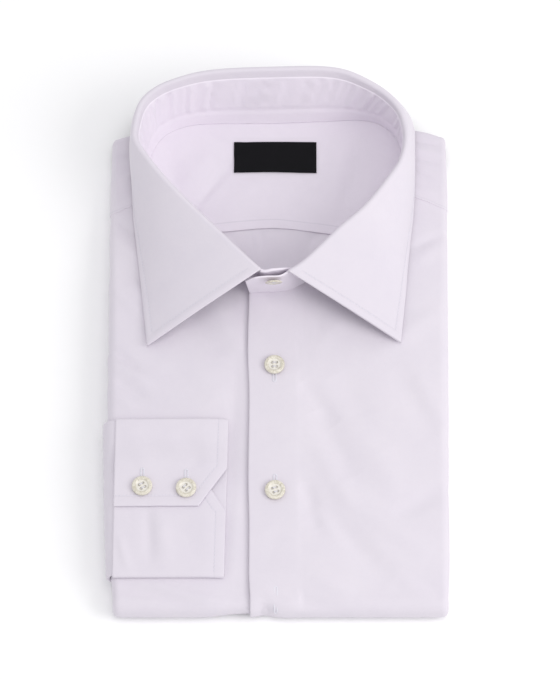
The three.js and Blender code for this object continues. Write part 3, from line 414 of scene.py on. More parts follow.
# %% Lines round the neck
COLLAR = np.array([
    # seam x, y; crest x, y, z; leaf edge x, y, z; how far the front lies lower under the seam
    (-12.0, 33.2, -11.8, 28.8, 56.8, -79.4, -8.0, 28.6, 2.1),
    (-34.5, 48.0, -34.6, 52.4, 56.6, -82.1, 18.3, 26.9, 0.8),
    (-62.5, 77.0, -61.8, 81.8, 55.8, -85.3, 50.0, 24.4, 0),
    (-77.5, 100.5, -79.4, 104.8, 54.8, -88.5, 82.0, 20.2, 0),
    (-80.6, 115.0, -88.2, 120.5, 53.8, -89.5, 106.0, 17.6, 0),
    (-80.0, 127.0, -87.8, 132.0, 52.8, -90.1, 125.0, 16.2, 0),
    (-74.0, 139.5, -83.7, 146.2, 51.2, -90.6, 140.0, 15.4, 0),
    (-66.0, 146.5, -75.0, 155.3, 50.2, -88.5, 155.0, 9.0, 0),
    (-54.5, 150.8, -63.0, 161.6, 49.3, -76.0, 167.5, 4.8, 0),
    (-40.0, 152.0, -45.0, 167.0, 48.5, -53.0, 178.0, 3.2, 0),
    (-3.0, 152.3, -6.0, 169.9, 48.0, -6.0, 182.5, 2.6, 0),
    (33.0, 154.0, 35.5, 169.0, 48.1, 42.0, 179.0, 3.2, 0),
    (50.0, 154.6, 53.3, 160.8, 48.9, 64.0, 168.5, 4.8, 0),
    (62.0, 151.5, 65.0, 151.8, 49.6, 77.0, 157.0, 8.6, 0),
    (71.0, 143.0, 72.8, 141.0, 51.0, 81.6, 145.0, 15.0, 0),
    (75.3, 132.0, 75.7, 131.5, 52.2, 81.8, 127.0, 16.2, 0),
    (76.8, 120.0, 76.4, 119.5, 53.6, 81.6, 108.0, 17.8, 0),
    (73.5, 102.5, 73.2, 104.6, 54.8, 80.6, 85.0, 20.4, 0),
    (66.0, 87.0, 65.0, 90.5, 55.8, 78.4, 63.0, 23.8, 0),
    (51.5, 67.0, 50.9, 71.4, 56.4, 76.4, 40.0, 26.6, 0),
    (37.0, 53.0, 36.8, 57.8, 56.6, 75.2, 24.0, 27.8, 0),
    (13.7, 35.0, 13.9, 34.0, 56.8, 73.0, 1.5, 28.8, 0),
    (6.0, 30.6, 5.2, 27.8, 56.8, 72.2, -6.1, 29.0, 0),
])
BAND_START = np.array([
    # seam x, y; top edge x, y, z; drop
    (15.5, 44.0, 14.6, 40.4, 38.0, 2.1),
    (9.0, 37.9, 8.6, 35.0, 47.0, 2.1),
    (3.0, 33.8, 3.0, 31.4, 54.0, 2.1),
    (-4.0, 32.3, -4.0, 30.0, 55.4, 2.1),
])
BAND_END = np.array([
    (0.0, 29.2, 0.0, 26.4, 54.2, 0),
    (-8.0, 28.7, -8.0, 25.6, 55.0, 0),
    (-14.5, 28.5, -14.5, 25.3, 54.0, 0),
    (-18.4, 28.2, -20.8, 25.3, 49.3, 0),
])
STAND_WALL = 2.4
STAND_LIFT = -0.5
STAND_TOP = {"back": 5.2, "front": 3.0, "inset": 1.1}


def seam_points(rows):
    """The neck seam of some rows: their x and y, at the height of the cloth under it."""
    height = body_top(rows[:, 0], rows[:, 1]) - rows[:, -1]
    return np.column_stack([rows[:, 0], rows[:, 1], height])


def stand_tops():
    """The stand's top under the leaf's fold: down from the crest, and a little to its inner side."""
    crest, seam = COLLAR[:, 2:5], seam_points(COLLAR)
    down = unit(seam - crest)
    along = np.vstack([crest[1] - crest[0], crest[2:] - crest[:-2], crest[-1] - crest[-2]])
    inward = unit(np.cross(along, down))
    station = np.arange(len(COLLAR))
    near_front = 1 - np.minimum(np.minimum(station, station[::-1]), 4) / 4
    drop = mix(STAND_TOP["back"], STAND_TOP["front"], near_front)[:, None]
    return crest + down * drop - inward * STAND_TOP["inset"]


LAST = len(COLLAR) - 1
STARTS = len(BAND_START)
crest_line = line_through(COLLAR[:, 2:5])
edge_line = line_through(COLLAR[:, 5:8])
foot_line = line_through(np.vstack([seam_points(BAND_START), seam_points(COLLAR), seam_points(BAND_END)]))
top_line = line_through(np.vstack([BAND_START[:, 2:5], stand_tops(), BAND_END[:, 2:5]]))

NECK_CORNER = {-1: (-76.9, 98.8), 1: (73.1, 101.4)}
seams = np.vstack([BAND_START[:, :2], COLLAR[:, :2], BAND_END[:, :2]])
left_neck = np.vstack([[(-103.2, 87.8), (-90.7, 93.0), NECK_CORNER[-1]], seams[6::-1]])
right_neck = np.vstack([seams[:21:-1], [NECK_CORNER[1], (87.7, 97.1), (101.7, 91.5)]])
neckline = {-1: through(left_neck[:, 0], left_neck[:, 1]), 1: through(right_neck[:, 0], right_neck[:, 1])}
fold_length = np.linalg.norm(np.diff(crest_line(np.linspace(0, LAST, 400)), axis=0), axis=1).sum()
print("collar round its fold, mm:", round(fold_length))

# %% [markdown]
# ## Poplin
#
# Poplin is a tight plain weave with a fine crosswise rib. From a metre away the rib is too fine to see, but
# it breaks up the light, so the cloth is matt with a soft bloom at grazing angles. The material puts the
# rib on the cloth's own UV map, so that it bends with every fold, and sinks a narrow groove along each line
# of stitching, whose distance each mesh carries as an attribute. Along that line it also paints the cloth a
# darker grey: painted shade for the groove's shadow. Little light reaches the neck, so the inner yoke and
# the stand have paler cloths than the body, where a real shirt has one cloth all over. The hidden layers
# share the inner yoke's.

# %% Material helpers
def new_material(name):
    """An empty node material: its nodes, a shortcut for links, and its shader."""
    material = bpy.data.materials.new(name)
    material.use_nodes = True
    tree = material.node_tree
    shader = tree.nodes["Principled BSDF"]
    return material, tree, shader


def set_values(made, **values):
    """Sets a node's properties, or else its inputs, whose names have _ here for a space."""
    for key, value in values.items():
        if hasattr(made, key):
            setattr(made, key, value)
        else:
            made.inputs[key.replace("_", " ")].default_value = value
    return made


def node(tree, kind, **values):
    """A new node with some of its values set."""
    return set_values(tree.nodes.new(kind), **values)


def ramp(tree, field, low, high, ends=(0.0, 1.0)):
    """The colour low up to one end of a field, high from the other, and a blend between."""
    made = node(tree, "ShaderNodeValToRGB")
    for element, colour, end in zip(made.color_ramp.elements, (low, high), ends):
        element.color = (*colour, 1)
        element.position = end
    tree.links.new(field, made.inputs[0])
    return made.outputs[0]


def math_node(tree, operation, first, second=None):
    """A Math node whose inputs are sockets or numbers."""
    made = node(tree, "ShaderNodeMath", operation=operation)
    for socket, value in zip(made.inputs, (first, second)):
        if value is None:
            continue
        if isinstance(value, (int, float)):
            socket.default_value = value
        else:
            tree.links.new(value, socket)
    return made.outputs[0]


# %% Cloth material
RIB = 0.00042
GROOVE_MM = 0.55
# painted shade: the darker grey laid along each line of stitching, where the groove's shadow falls
GROOVE_SHADE_COLOUR = (0.67, 0.63, 0.7, 1)


def poplin(name, light, shade, sheen=0.25):
    """White poplin: light and shade are its colours where it is clean and where it is a little greyer."""
    material, tree, shader = new_material(name)
    place_node = node(tree, "ShaderNodeTexCoord")
    cloudy = node(tree, "ShaderNodeTexNoise", Scale=9.0, Detail=8.0, Roughness=0.8)
    tree.links.new(place_node.outputs["Object"], cloudy.inputs["Vector"])
    colour = ramp(tree, cloudy.outputs[0], shade, light, (0.3, 0.7))
    seam = node(tree, "ShaderNodeAttribute", attribute_name="stitch_mm")
    away = math_node(tree, "ABSOLUTE", seam.outputs["Fac"])
    groove = math_node(tree, "SMOOTH_MIN", math_node(tree, "DIVIDE", away, GROOVE_MM), 1.0)
    # painted shade along the stitching: the groove's grey at the line, the cloth's own colour away from it
    groove_shaded = node(tree, "ShaderNodeMix", data_type="RGBA")
    tree.links.new(groove, groove_shaded.inputs["Factor"])
    groove_shaded.inputs[6].default_value = GROOVE_SHADE_COLOUR
    tree.links.new(colour, groove_shaded.inputs[7])
    tree.links.new(groove_shaded.outputs[2], shader.inputs["Base Color"])
    uv = node(tree, "ShaderNodeUVMap", uv_map="cloth")
    split = node(tree, "ShaderNodeSeparateXYZ")
    tree.links.new(uv.outputs[0], split.inputs[0])
    warp = math_node(tree, "SINE", math_node(tree, "MULTIPLY", split.outputs[0], 2 * math.pi / (RIB * 0.6)))
    weft = math_node(tree, "SINE", math_node(tree, "MULTIPLY", split.outputs[1], 2 * math.pi / RIB))
    both = math_node(tree, "ADD", weft, math_node(tree, "MULTIPLY", warp, 0.5))
    weave = math_node(tree, "MULTIPLY", both, 0.5)
    rumple = node(tree, "ShaderNodeTexNoise", Scale=420.0, Detail=4.0, Roughness=0.6)
    tree.links.new(place_node.outputs["Object"], rumple.inputs["Vector"])
    height = math_node(tree, "ADD", math_node(tree, "MULTIPLY", weave, 0.05), rumple.outputs[0])
    height = math_node(tree, "ADD", height, math_node(tree, "MULTIPLY", groove, 0.9))
    bump = node(tree, "ShaderNodeBump", Strength=0.5, Distance=0.00012)
    tree.links.new(height, bump.inputs["Height"])
    tree.links.new(bump.outputs[0], shader.inputs["Normal"])
    set_values(shader, Roughness=0.82, Specular_IOR_Level=0.25, Sheen_Weight=sheen, Sheen_Roughness=0.5)
    return material


white = poplin("white_poplin", (0.735, 0.690, 0.752), (0.685, 0.642, 0.715))
white_inside = poplin("white_poplin_inside", (0.78, 0.73, 0.80), (0.73, 0.682, 0.758), sheen=0.15)
white_stand = poplin("white_poplin_stand", (0.86, 0.803, 0.88), (0.81, 0.757, 0.841), sheen=0.15)
print("poplin rib, mm:", RIB * 1000)

# %% [markdown]
# ## The two fronts
#
# Each front runs down the top of the stack, under along the bottom and back up underneath, and its side is
# folded in. One function gives that whole sheet. The left front, which carries the placket, is a thickness
# higher at the middle, because the right front lies under it. Its placket is turned in twice and pressed,
# so it stands a little proud of the cloth beside it.

# %% A front as a function
def front_face(sign, along, across):
    """Outer face. along: 0-1 down the top, 1-2 round the bottom fold, 2-3 underneath.
    across: 0-1 from the front edge to the side fold, 1-2 round it, 2-3 over the cloth turned in.
    A side fold of radius r moves a point out by r sin a and down by r(1 - cos a), a from 0 to a half turn.
    The bottom fold is a superellipse whose exponent is FOLD_SQUARE."""
    along, across = along[:, None], across[None, :]

    def front_edge(y):
        return np.full_like(y, UNDERLAP_EDGE) if sign < 0 else placket_edge(y)

    flat = np.clip(across, 0, 1)
    turn = np.pi * np.clip(across - 1, 0, 1)
    inward = FLAP * np.clip(across - 2, 0, 1)
    down = np.clip(along, 0, 1)
    rough_y = mix(90.0, FOLD_Y, down)
    rough_x = mix(front_edge(rough_y), side_line(sign, rough_y) - sign * fold_radius(rough_y), flat)
    start_y = neckline[sign](rough_x + sign * fold_radius(90.0) * np.sin(turn)) - GAP / 2
    y = np.where(along > 2, mix(FOLD_Y, HEM_Y, along - 2), mix(start_y, FOLD_Y, down))
    closing = mix(fold_radius(FOLD_Y), UNDER_ROLL, np.clip(along - 1, 0, 1))
    radius = np.where(along <= 1, fold_radius(y), closing)
    inset = UNDER_INSET * np.clip((along - 2) * 4, 0, 1)
    base = mix(front_edge(y), side_line(sign, y) - sign * (radius + inset), flat)
    x = base + sign * (radius * np.sin(turn) - inward)
    drop = underlap_drop(base) if sign < 0 else 0.0
    depth = drop + radius * (1 - np.cos(turn))
    angle = np.pi * np.clip(along - 1, 0, 1)
    reach = FOLD_RADIUS - depth
    high, far = np.cos(angle), np.sin(angle)
    squarer = (np.abs(high) ** FOLD_SQUARE + far**FOLD_SQUARE) ** (-1 / FOLD_SQUARE)
    z = np.where(along <= 1, body_top(base, y) - depth, FOLD_RADIUS + reach * high * squarer)
    bottom = np.where((along > 1) & (along <= 2), FOLD_Y - reach * far * squarer, y)
    return np.stack([x, bottom, z], -1), base, y


CHEST_CREASES = [
    # x0, y0, x1, y1, width, height
    (12, -30, 34, -58, 6.0, -2.2),
    (20, -48, 44, -92, 7.0, -1.9),
    (34, -24, 62, -76, 8.0, -1.4),
    (46, -50, 70, -104, 9.0, 1.7),
    (22, -72, 44, -112, 6.0, 1.4),
    (14, -94, 22, -124, 5.0, -2.0),
    (20, -112, 66, -156, 8.0, -2.0),
    (16, -108, 40, -136, 4.5, 1.3),
    (30, -96, 90, -142, 8.0, 2.0),
    (50, -128, 92, -168, 6.0, 1.3),
    (60, -140, 96, -166, 5.0, -1.2),
    (66, -22, 94, -66, 8.0, -1.3),
    (80, -24, 96, -54, 6.0, 1.2),
    (98, 20, 58, -12, 6.0, 1.0),
    (98, -98, 66, -116, 6.0, -1.2),
    (40, 16, 22, -10, 6.0, 0.7),
    (-12, -44, -4, -72, 5.0, -0.7),
    (4, -116, -10, -148, 5.0, -0.7),
    (100, 72, 80, 60, 3.0, -0.9),
    (96, 62, 82, 50, 5.0, 1.0),
    (1, -163, 34, -175, 5.0, -1.9),
    (-9, -156, -2, -174, 3.5, 0.9),
    (18, -152, 44, -164, 5.0, 1.2),
]
LEFT_CREASES = [
    (-103, -6, -84, -22, 2.8, -1.6),
    (-103, -13, -76, -32, 3.0, 1.5),
    (-103, -24, -80, -40, 2.8, -1.5),
    (-103, -34, -86, -48, 3.0, 0.9),
    (-103, 52, -74, 28, 5.0, -1.2),
    (-103, 70, -84, 52, 3.4, 1.1),
    (-103, 84, -86, 68, 2.6, -1.1),
    (-103, 36, -84, 14, 3.0, 0.9),
    (-60, 24, -34, -14, 8.0, -1.8),
    (-42, 30, -21, -14, 7.0, 1.2),
    (-92, 40, -58, 2, 8.0, 1.2),
    (-26, -20, -30, -90, 4.0, -1.0),
    (-24, -90, -28, -160, 4.0, 0.8),
    (-96, -158, -50, -170, 3.4, -1.1),
    (-76, -157, -36, -168, 3.0, 1.0),
    (-70, -20, -40, -42, 8.0, -1.1),
]
BUTTON_PULLS = [
    # x, y, width, height: the hollows under the buttons and the dip beside the lowest buttonhole
    (-3.3, -20.0, 9.0, -0.5),
    (-2.9, -100.1, 9.0, -0.5),
    (-9.0, -173.0, 4.5, -2.6),
    (-14.0, -160.0, 7.0, 0.5),
    (5.0, -168.0, 6.0, 0.5),
]


def front_piece(name, sign, rows):
    """A front: the sheet above, moved out along its normals by its creases."""
    across = steps((0, 0.3, 26), (0.3, 1, 46), (1, 2, 15), (2, 3, 6))
    along = steps((0, 1, 170), (1, 2, 20), (2, 3, 50))
    face, base, y = front_face(sign, along, across)
    normal = normals_of(face, sign)
    top = 1 - smooth(along[:, None], 1.0, 1.4)
    place_x, place_y = face[..., 0], face[..., 1]
    relief = creases(place_x, place_y, rows) + waves(place_x, place_y, 7 + sign, (95, 61, 43), 0.09)
    relief = relief * top
    if sign > 0:
        placket = 1 - smooth(base, placket_edge(y) + PLACKET_WIDTH - 1.6, placket_edge(y) + PLACKET_WIDTH)
        relief = relief * (1 - 0.6 * placket) + PLACKET_STEP * placket * top
        before_underside = 1 - smooth(along[:, None], 1.5, 1.9)
        for hill_x, hill_y, width, height in BUTTON_PULLS:
            away = np.hypot(place_x - hill_x, place_y - hill_y)
            relief += height * np.exp(-((away / width) ** 2)) * placket * before_underside
    else:
        relief = relief - smooth(base, -24, -20) * np.maximum(relief, 0)
    outer = face + normal * relief[..., None]
    inner = outer - normal * CLOTH
    return sheet_mesh(name, outer, inner)


right_front = place(front_piece("right_front_cloth", -1, LEFT_CREASES), white, "poplin", "right_front")
left_front = place(front_piece("left_front_cloth", 1, CHEST_CREASES), white, "poplin", "left_front")

# %% [markdown]
# ## The outer yoke
#
# The yoke is the double piece over the shoulders. Its front seams run from the folded sides to the neck,
# and its back edge is folded under behind the collar. The sheet is a fan: each of its lines starts at the
# neck seam and ends over the fold.

# %% Yoke
YOKE = np.array([
    # edge x, y; the way it faces; the collar row where its line meets the neck seam
    (-103.2, 87.8, -1, 0, 2.93),
    (-103.2, 106, -1, 0, 3.4),
    (-103.2, 124, -1, 0, 4.0),
    (-103.0, 135.5, -1, 0.25, 4.4),
    (-101.9, 139.0, -0.85, 0.85, 4.7),
    (-98.6, 140.6, -0.25, 1, 5.0),
    (-90.0, 143.4, -0.36, 0.93, 5.4),
    (-79.0, 146.4, -0.4, 0.92, 6.0),
    (-65.0, 152.6, -0.3, 0.95, 7.2),
    (-46.0, 156.4, -0.12, 1, 8.6),
    (-22.0, 157.6, 0, 1, 9.5),
    (5.0, 158.0, 0, 1, 10.3),
    (32.0, 158.8, 0.05, 1, 11.0),
    (53.0, 158.6, 0.25, 0.97, 12.0),
    (67.5, 154.0, 0.4, 0.92, 13.1),
    (79.0, 147.8, 0.38, 0.92, 14.2),
    (89.0, 145.4, 0.32, 0.95, 14.9),
    (97.6, 142.3, 0.25, 1, 15.3),
    (100.8, 141.0, 0.85, 0.85, 15.6),
    (101.8, 137.6, 1, 0.25, 15.9),
    (102.0, 126, 1, 0, 16.1),
    (101.9, 108, 1, 0, 16.6),
    (101.7, 91.5, 1, 0, 17.05),
])
YOKE_FLAP = 4.0
YOKE_STITCH = 1.6
YOKE_LAP = 2.0
YOKE_LIFT = 0.45
YOKE_CREASES = [
    (76, 140, 101, 134, 1.8, -0.8),
    (76, 134, 100, 128, 2.0, 0.6),
    (76, 128, 98, 122, 1.8, -0.7),
    (78, 119, 92, 112, 1.8, -0.6),
    (80, 104, 101, 100, 2.4, 0.4),
    (-80, 132, -102, 124, 2.2, -0.6),
    (-84, 118, -102, 108, 2.4, 0.5),
    (-84, 106, -102, 96, 2.2, -0.5),
]


def yoke_face(rounds, downs):
    """Outer face. rounds: rows of YOKE. downs: 0-1 from neck seam to edge, 1-2 round it, 2-3 underneath."""
    index = np.arange(len(YOKE))
    x, y, out_x, out_y, neck_row = (through(index, YOKE[:, k])(rounds) for k in range(5))
    out = np.stack([out_x, out_y, np.zeros_like(x)], -1)
    edge = np.stack([x, y, np.zeros_like(x)], -1)
    radius = mix(fold_radius(np.clip(y, 85, 137)), 3.4, smooth(y, 150, 157))[:, None]
    start = edge - out * radius
    neck = foot_line(STARTS + neck_row) * [1, 1, 0]
    neck = neck - YOKE_LAP / 2 * unit(start - neck)
    downs = downs[None, :]
    turn = np.pi * np.clip(downs - 1, 0, 1)
    base = mix(neck[:, None], start[:, None], np.clip(downs, 0, 1)[..., None])
    for sign, weight in ((-1, np.clip(1 - rounds, 0, 1)), (1, np.clip(rounds - len(YOKE) + 2, 0, 1))):
        seam = neckline[sign](base[..., 0] + out[:, None, 0] * radius * np.sin(turn)) - YOKE_LAP
        base[..., 1] += (seam - base[..., 1]) * weight[:, None]
    top = body_top(base[..., 0], base[..., 1])
    side = radius * np.sin(turn) - YOKE_FLAP * np.clip(downs - 2, 0, 1)
    point = base + out[:, None] * side[..., None]
    point[..., 2] = top - radius * (1 - np.cos(turn))
    lift = 1 - smooth(np.minimum(rounds, len(YOKE) - 1 - rounds), 0.5, 2.0)[:, None]
    over = np.stack([np.sin(turn) * out[:, None, 0], 0 * turn * lift, np.cos(turn) + 0 * lift], -1)
    return point + over * (lift * YOKE_LIFT)[..., None]


rounds = np.linspace(0, len(YOKE) - 1, 300)
downs = steps((0, 1, 24), (1, 2, 12), (2, 3, 4))
face = yoke_face(rounds, downs)
normal = normals_of(face, 1)
relief = creases(face[..., 0], face[..., 1], YOKE_CREASES) * (downs < 2)
seam_left = face[..., 1] - neckline[-1](face[..., 0])
seam_right = face[..., 1] - neckline[1](face[..., 0])
seam_run = np.where(face[..., 0] < 0, seam_left, seam_right) * 0.85
beside_seam = (np.abs(face[..., 0]) > 76) & (downs < 2)
yoke_stitch = np.where(beside_seam, seam_run + YOKE_LAP - YOKE_STITCH, NO_STITCH)
yoke = sheet_mesh("yoke_cloth", face + normal * relief[..., None], face - normal * CLOTH, yoke_stitch)
place(yoke, white, "poplin", "yoke")

# %% [markdown]
# ## The inner yoke and the back
#
# Through the open neck the lining side of the yoke shows, with the label, and below its seam the back
# panel. The yoke sags between the neck seam and its lower seam, where its turned-in allowance makes a flat
# band, and one long slack crease crosses it from the label towards the side.

# %% Inner yoke
YOKE_SEAM = np.array([
    # x, y
    (-80, 71.5),
    (-34, 77.0),
    (-4, 79.5),
    (30, 75.5),
    (77, 68.0),
])
YOKE_FLOOR = 10.6
RIM_REACH = 0.8
INNER_CLOTH = 0.6
NECK_CENTRE = np.array([-3.0, 110.0, 0.0])
yoke_seam = through(YOKE_SEAM[:, 0], YOKE_SEAM[:, 1])
INNER_CREASES = [
    (-18, 142, -56, 88, 3.0, -1.5),
    (2, 128, -34, 82, 11.0, 1.8),
    (-36, 140, -66, 96, 8.0, 1.4),
    (-70, 132, -60, 100, 5.0, -0.8),
    (20, 128, 12, 82, 9.0, -1.2),
    (38, 120, 26, 82, 7.0, 1.2),
    (72, 124, 44, 88, 9.0, 2.0),
    (50, 140, 40, 100, 6.0, -1.4),
    (-64, 100, -44, 86, 3.0, -0.8),
    (4, 108, -4, 80, 4.0, 0.6),
]


def inner_relief(x, y):
    """Folds of the inner yoke, halved under the label, which holds the cloth flatter."""
    held = smooth(y, 106, 116) * (1 - smooth(np.abs(x + 3), 22, 34))
    return (creases(x, y, INNER_CREASES) + waves(x, y, 5, (47, 33, 26), 0.1)) * (1 - 0.6 * held)


def inner_yoke_face(rounds, ups):
    """From the yoke seam, ups 0, to the neck seam, ups 1. Its height rises with the square of ups."""
    rim = foot_line(STARTS + np.asarray(rounds, float))
    inward = unit((NECK_CENTRE - rim) * [1, 1, 0])
    rim_height = body_top(rim[..., 0], rim[..., 1])
    rim = rim - RIM_REACH * inward
    floor = YOKE_FLOOR + 3.2 * (np.abs(rim[..., 0]) / 80) ** 4
    y = mix(yoke_seam(rim[..., 0])[:, None], rim[:, None, 1], ups)
    z = mix(floor[:, None], rim_height[:, None], ups**2) - 0.1
    return np.stack([np.broadcast_to(rim[:, None, 0], z.shape), y, z], -1).transpose(1, 0, 2)


ups = np.linspace(0, 1, 80)[None, :]
face = inner_yoke_face(np.linspace(4.1, 15.95, 150), ups)
normal = normals_of(face, -1)
relief = inner_relief(face[..., 0], face[..., 1])
from_seam = face[..., 1] - yoke_seam(face[..., 0])
relief = relief * smooth(from_seam, -4.0, 10.0) * (1 - smooth(ups[0][:, None], 0.85, 1.0))
allowance = 1 - smooth(from_seam, 6.4, 7.4)
relief = relief + 0.3 * allowance
front = face + normal * relief[..., None]
behind = front - normal * INNER_CLOTH
inner_yoke = sheet_mesh("inner_yoke_cloth", front, behind, from_seam - 5.8)
place(inner_yoke, white_inside, "poplin", "inner_yoke")

# %% Back panel
BACK_TOP = np.array([
    # y, height of the face seen through the neck
    (-24, 20.6),
    (0, 16.0),
    (20, 12.6),
    (40, 10.2),
    (60, 9.2),
    (84, 9.1),
])
BACK_LIFT = 0.9
BACK_SPAN = {"left": -74.0, "right": 70.0, "low": -24.0, "high": 84.0}
back_top = through(BACK_TOP[:, 0], BACK_TOP[:, 1])
BACK_PLEATS = [
    (-15.0, 86, -13.5, 60, 1.2, 0.6),
    (-11.5, 86, -10.0, 62, 1.6, -0.5),
    (24, 84, 10, 46, 5.0, -1.0),
    (-36, 82, -16, 46, 5.0, -1.0),
    (40, 76, 24, 40, 6.0, 0.8),
    (-2, 80, 2, 44, 5.0, 0.6),
]
x, y = span_grid(BACK_SPAN, 110, 90)
face = np.stack([x, y, back_top(y) + BACK_LIFT * smooth(y, 40, 70)], -1)
normal = normals_of(face, -1)
relief = creases(x, y, BACK_PLEATS) * (1 - smooth(y, 74, 79))
back = sheet_mesh("back_cloth", face + normal * relief[..., None], face - normal * CLOTH)
place(back, white, "poplin", "back")

# %% [markdown]
# ## The collar stand
#
# The stand is two plies of interlined poplin on edge. Its inner ply is a little too long for the curve it
# is bent into, so it gathers in small slanting wrinkles below the leaf's seam, while the lower part, close
# to the neck seam, stays smooth.

# %% Stand
BARE_THINNING = 0.55


def gathers(run, height, window):
    """Slanting wrinkles: ridges 5 to 8 mm apart that lean over, each of its own height, inside a window."""
    slant = run - 9.0 * height
    ripple = np.sin(2 * np.pi * slant / 6.3 + 1.3 * np.sin(2 * np.pi * slant / 23.0))
    uneven = 0.55 + 0.45 * np.sin(2 * np.pi * run / 37.0 + 1.0) * np.sin(2 * np.pi * slant / 17.0)
    return ripple * uneven * window


band_rows = len(BAND_START) + len(COLLAR) + len(BAND_END)
rounds = np.linspace(0, band_rows - 1, 420)
ups = np.linspace(0, 1, 34)
foot = foot_line(rounds) + [0, 0, STAND_LIFT]
face = mix(foot[None], top_line(rounds)[None], ups[:, None, None])
normal = normals_of(face, 1)
run = np.concatenate([[0.0], np.cumsum(np.linalg.norm(np.diff(foot, axis=0), axis=1))])[None, :]
up = ups[:, None]
back_share = np.exp(-(((rounds - STARTS - 10.0) / 5.5) ** 2))[None, :]
window = smooth(up, 0.28, 0.45) * (1 - smooth(up, 0.88, 1.0)) * (0.25 + 0.75 * back_share)
lower_step = np.exp(-(((up - 0.3) / 0.05) ** 2)) * (0.4 + 0.6 * back_share)
seam_pucker = np.sin(2 * np.pi * run / 3.1) * np.exp(-(((up - 0.94) / 0.04) ** 2))
inside_relief = 1.2 * gathers(run, up, window) - 0.5 * lower_step + 0.12 * seam_pucker
bare_start = smooth(rounds, 5.0, 1.0)
bare_stop = smooth(rounds, STARTS + LAST - 2.0, STARTS + LAST + 1.5)
bare_end = np.maximum(bare_start, bare_stop)
half_wall = (STAND_WALL / 2 * (1 - BARE_THINNING * bare_end))[None, :, None]
outer = face + normal * half_wall
inner = face - normal * (half_wall + inside_relief[..., None])
stand = sheet_mesh("collar_stand_cloth", outer, inner)
place(stand, white_stand, "poplin", "collar_stand")

# %% [markdown]
# ## The collar leaf
#
# The leaf is sewn to the stand's top, rolls over and falls to its points. In section it is a short straight
# limb, a small round fold and a long limb with a slight crown. The round fold is part of a circle that
# touches both limbs. A line of topstitching runs 5 mm inside its free edges, and the edge outside it is
# puffed by the seam allowance.

# %% Leaf
LEAF_WALL = 1.6
LEAF_ROLL = 1.3
LEAF_CROWN = 1.5
LEAF_STITCH = 5.0
LEAF_TUCK = 1.2


def leaf_middle(stations, arounds):
    """Middle of the leaf's wall. arounds: 0-1 up the inner limb, 1-2 round the fold, 2-3 down to the edge."""
    crest, edge = crest_line(stations), edge_line(stations)
    top = top_line(STARTS + stations)
    fall, rise = unit(edge - crest), unit(top - crest)
    spread = np.arccos(np.clip(np.sum(fall * rise, -1, keepdims=True), -1, 1)) / 2
    apex = crest - unit(rise + fall) * (LEAF_ROLL / np.sin(spread) - LEAF_ROLL)
    inner, outer = unit(top - apex), unit(edge - apex)
    start = top + inner * LEAF_TUCK
    half = np.arccos(np.clip(np.sum(inner * outer, -1, keepdims=True), -1, 1)) / 2
    low, high = apex + inner * LEAF_ROLL / np.tan(half), apex + outer * LEAF_ROLL / np.tan(half)
    centre = apex + unit(inner + outer) * LEAF_ROLL / np.sin(half)
    radial = low - centre
    axis = unit(np.cross(radial, high - centre))
    bow = unit(high - centre)
    around = arounds[:, None, None]
    angle = (np.pi - 2 * half) * np.clip(around - 1, 0, 1)
    arc = centre + radial * np.cos(angle) + np.cross(axis, radial) * np.sin(angle)
    down = np.clip(around - 2, 0, 1)
    limb = mix(high, edge, down) + bow * LEAF_CROWN * np.sin(np.pi * down)
    return np.where(around < 1, mix(start, low, np.clip(around, 0, 1)), np.where(around <= 2, arc, limb))


def run_from(grid, axis, backwards=False):
    """Distance along the lines of a grid from their start, or from their end."""
    if backwards:
        return np.flip(run_from(np.flip(grid, axis), axis), axis)
    step = np.linalg.norm(np.diff(grid, axis=axis), axis=2)
    pad = [(0, 0), (0, 0)]
    pad[axis] = (1, 0)
    return np.pad(np.cumsum(step, axis=axis), pad)


stations = steps((0, 1, 22), (1, LAST - 1, 330), (LAST - 1, LAST, 22))
arounds = steps((0, 1, 5), (1, 2, 12), (2, 3, 52))
face = leaf_middle(stations, arounds)
normal = normals_of(face, -1)
to_edge = run_from(face, 0, backwards=True)
to_ends = np.minimum(run_from(face, 1), run_from(face, 1, backwards=True))
nearest = np.minimum(to_edge, to_ends)
falling = arounds[:, None] > 2.02
leaf_stitch = np.where(falling, nearest - LEAF_STITCH, NO_STITCH)
puff = 0.22 * np.sin(np.pi * np.clip(nearest / LEAF_STITCH, 0, 1)) * falling
dent = -0.16 * np.exp(-(((nearest - LEAF_STITCH) / 0.9) ** 2)) * falling
station_run = run_from(face, 1)
mid_limb = np.sin(np.pi * np.clip(arounds - 2, 0, 1))[:, None]
slack = 0.12 * np.sin(2 * np.pi * station_run / 71.0 + 0.6) * mid_limb
relief = puff + dent + slack
outer = face + normal * (LEAF_WALL / 2 + relief[..., None])
leaf_face, leaf_top, leaf_normal, leaf_to_edge = face, outer, normal, to_edge
leaf = sheet_mesh("collar_leaf_cloth", outer, face - normal * LEAF_WALL / 2, leaf_stitch)
place(leaf, white, "poplin", "collar_leaf")

# %% [markdown]
# ## The cuff and the sleeve
#
# The cuff is a buttoned tube pressed flat on the front: a lower ply, an upper ply, and the lap, which
# climbs over the underlap's end. Both ends have a cut corner at the hem. The section is one path, carried
# from the sleeve seam to the hem. The sleeve goes on from the seam, round the folded side and in between
# the layers.

# %% Cuff
CUFF_WALL = 1.4
CUFF_LEVEL = {"under": 1.15, "over": 3.2, "lap": 5.0}
CUFF = {
    "seam_top": (-97.6, -54.4),
    "hem_top": (-30.4, -55.6),
    "seam_bottom": (-98.2, -152.6),
    "hem_bottom": (-32.7, -153.4),
    "lap": -111.6,
    "underlap": -90.0,
    "mitre_across": 16.0,
    "mitre_along": 24.0,
    "rise": 22.0,
}
CUFF_STITCH = 6.0


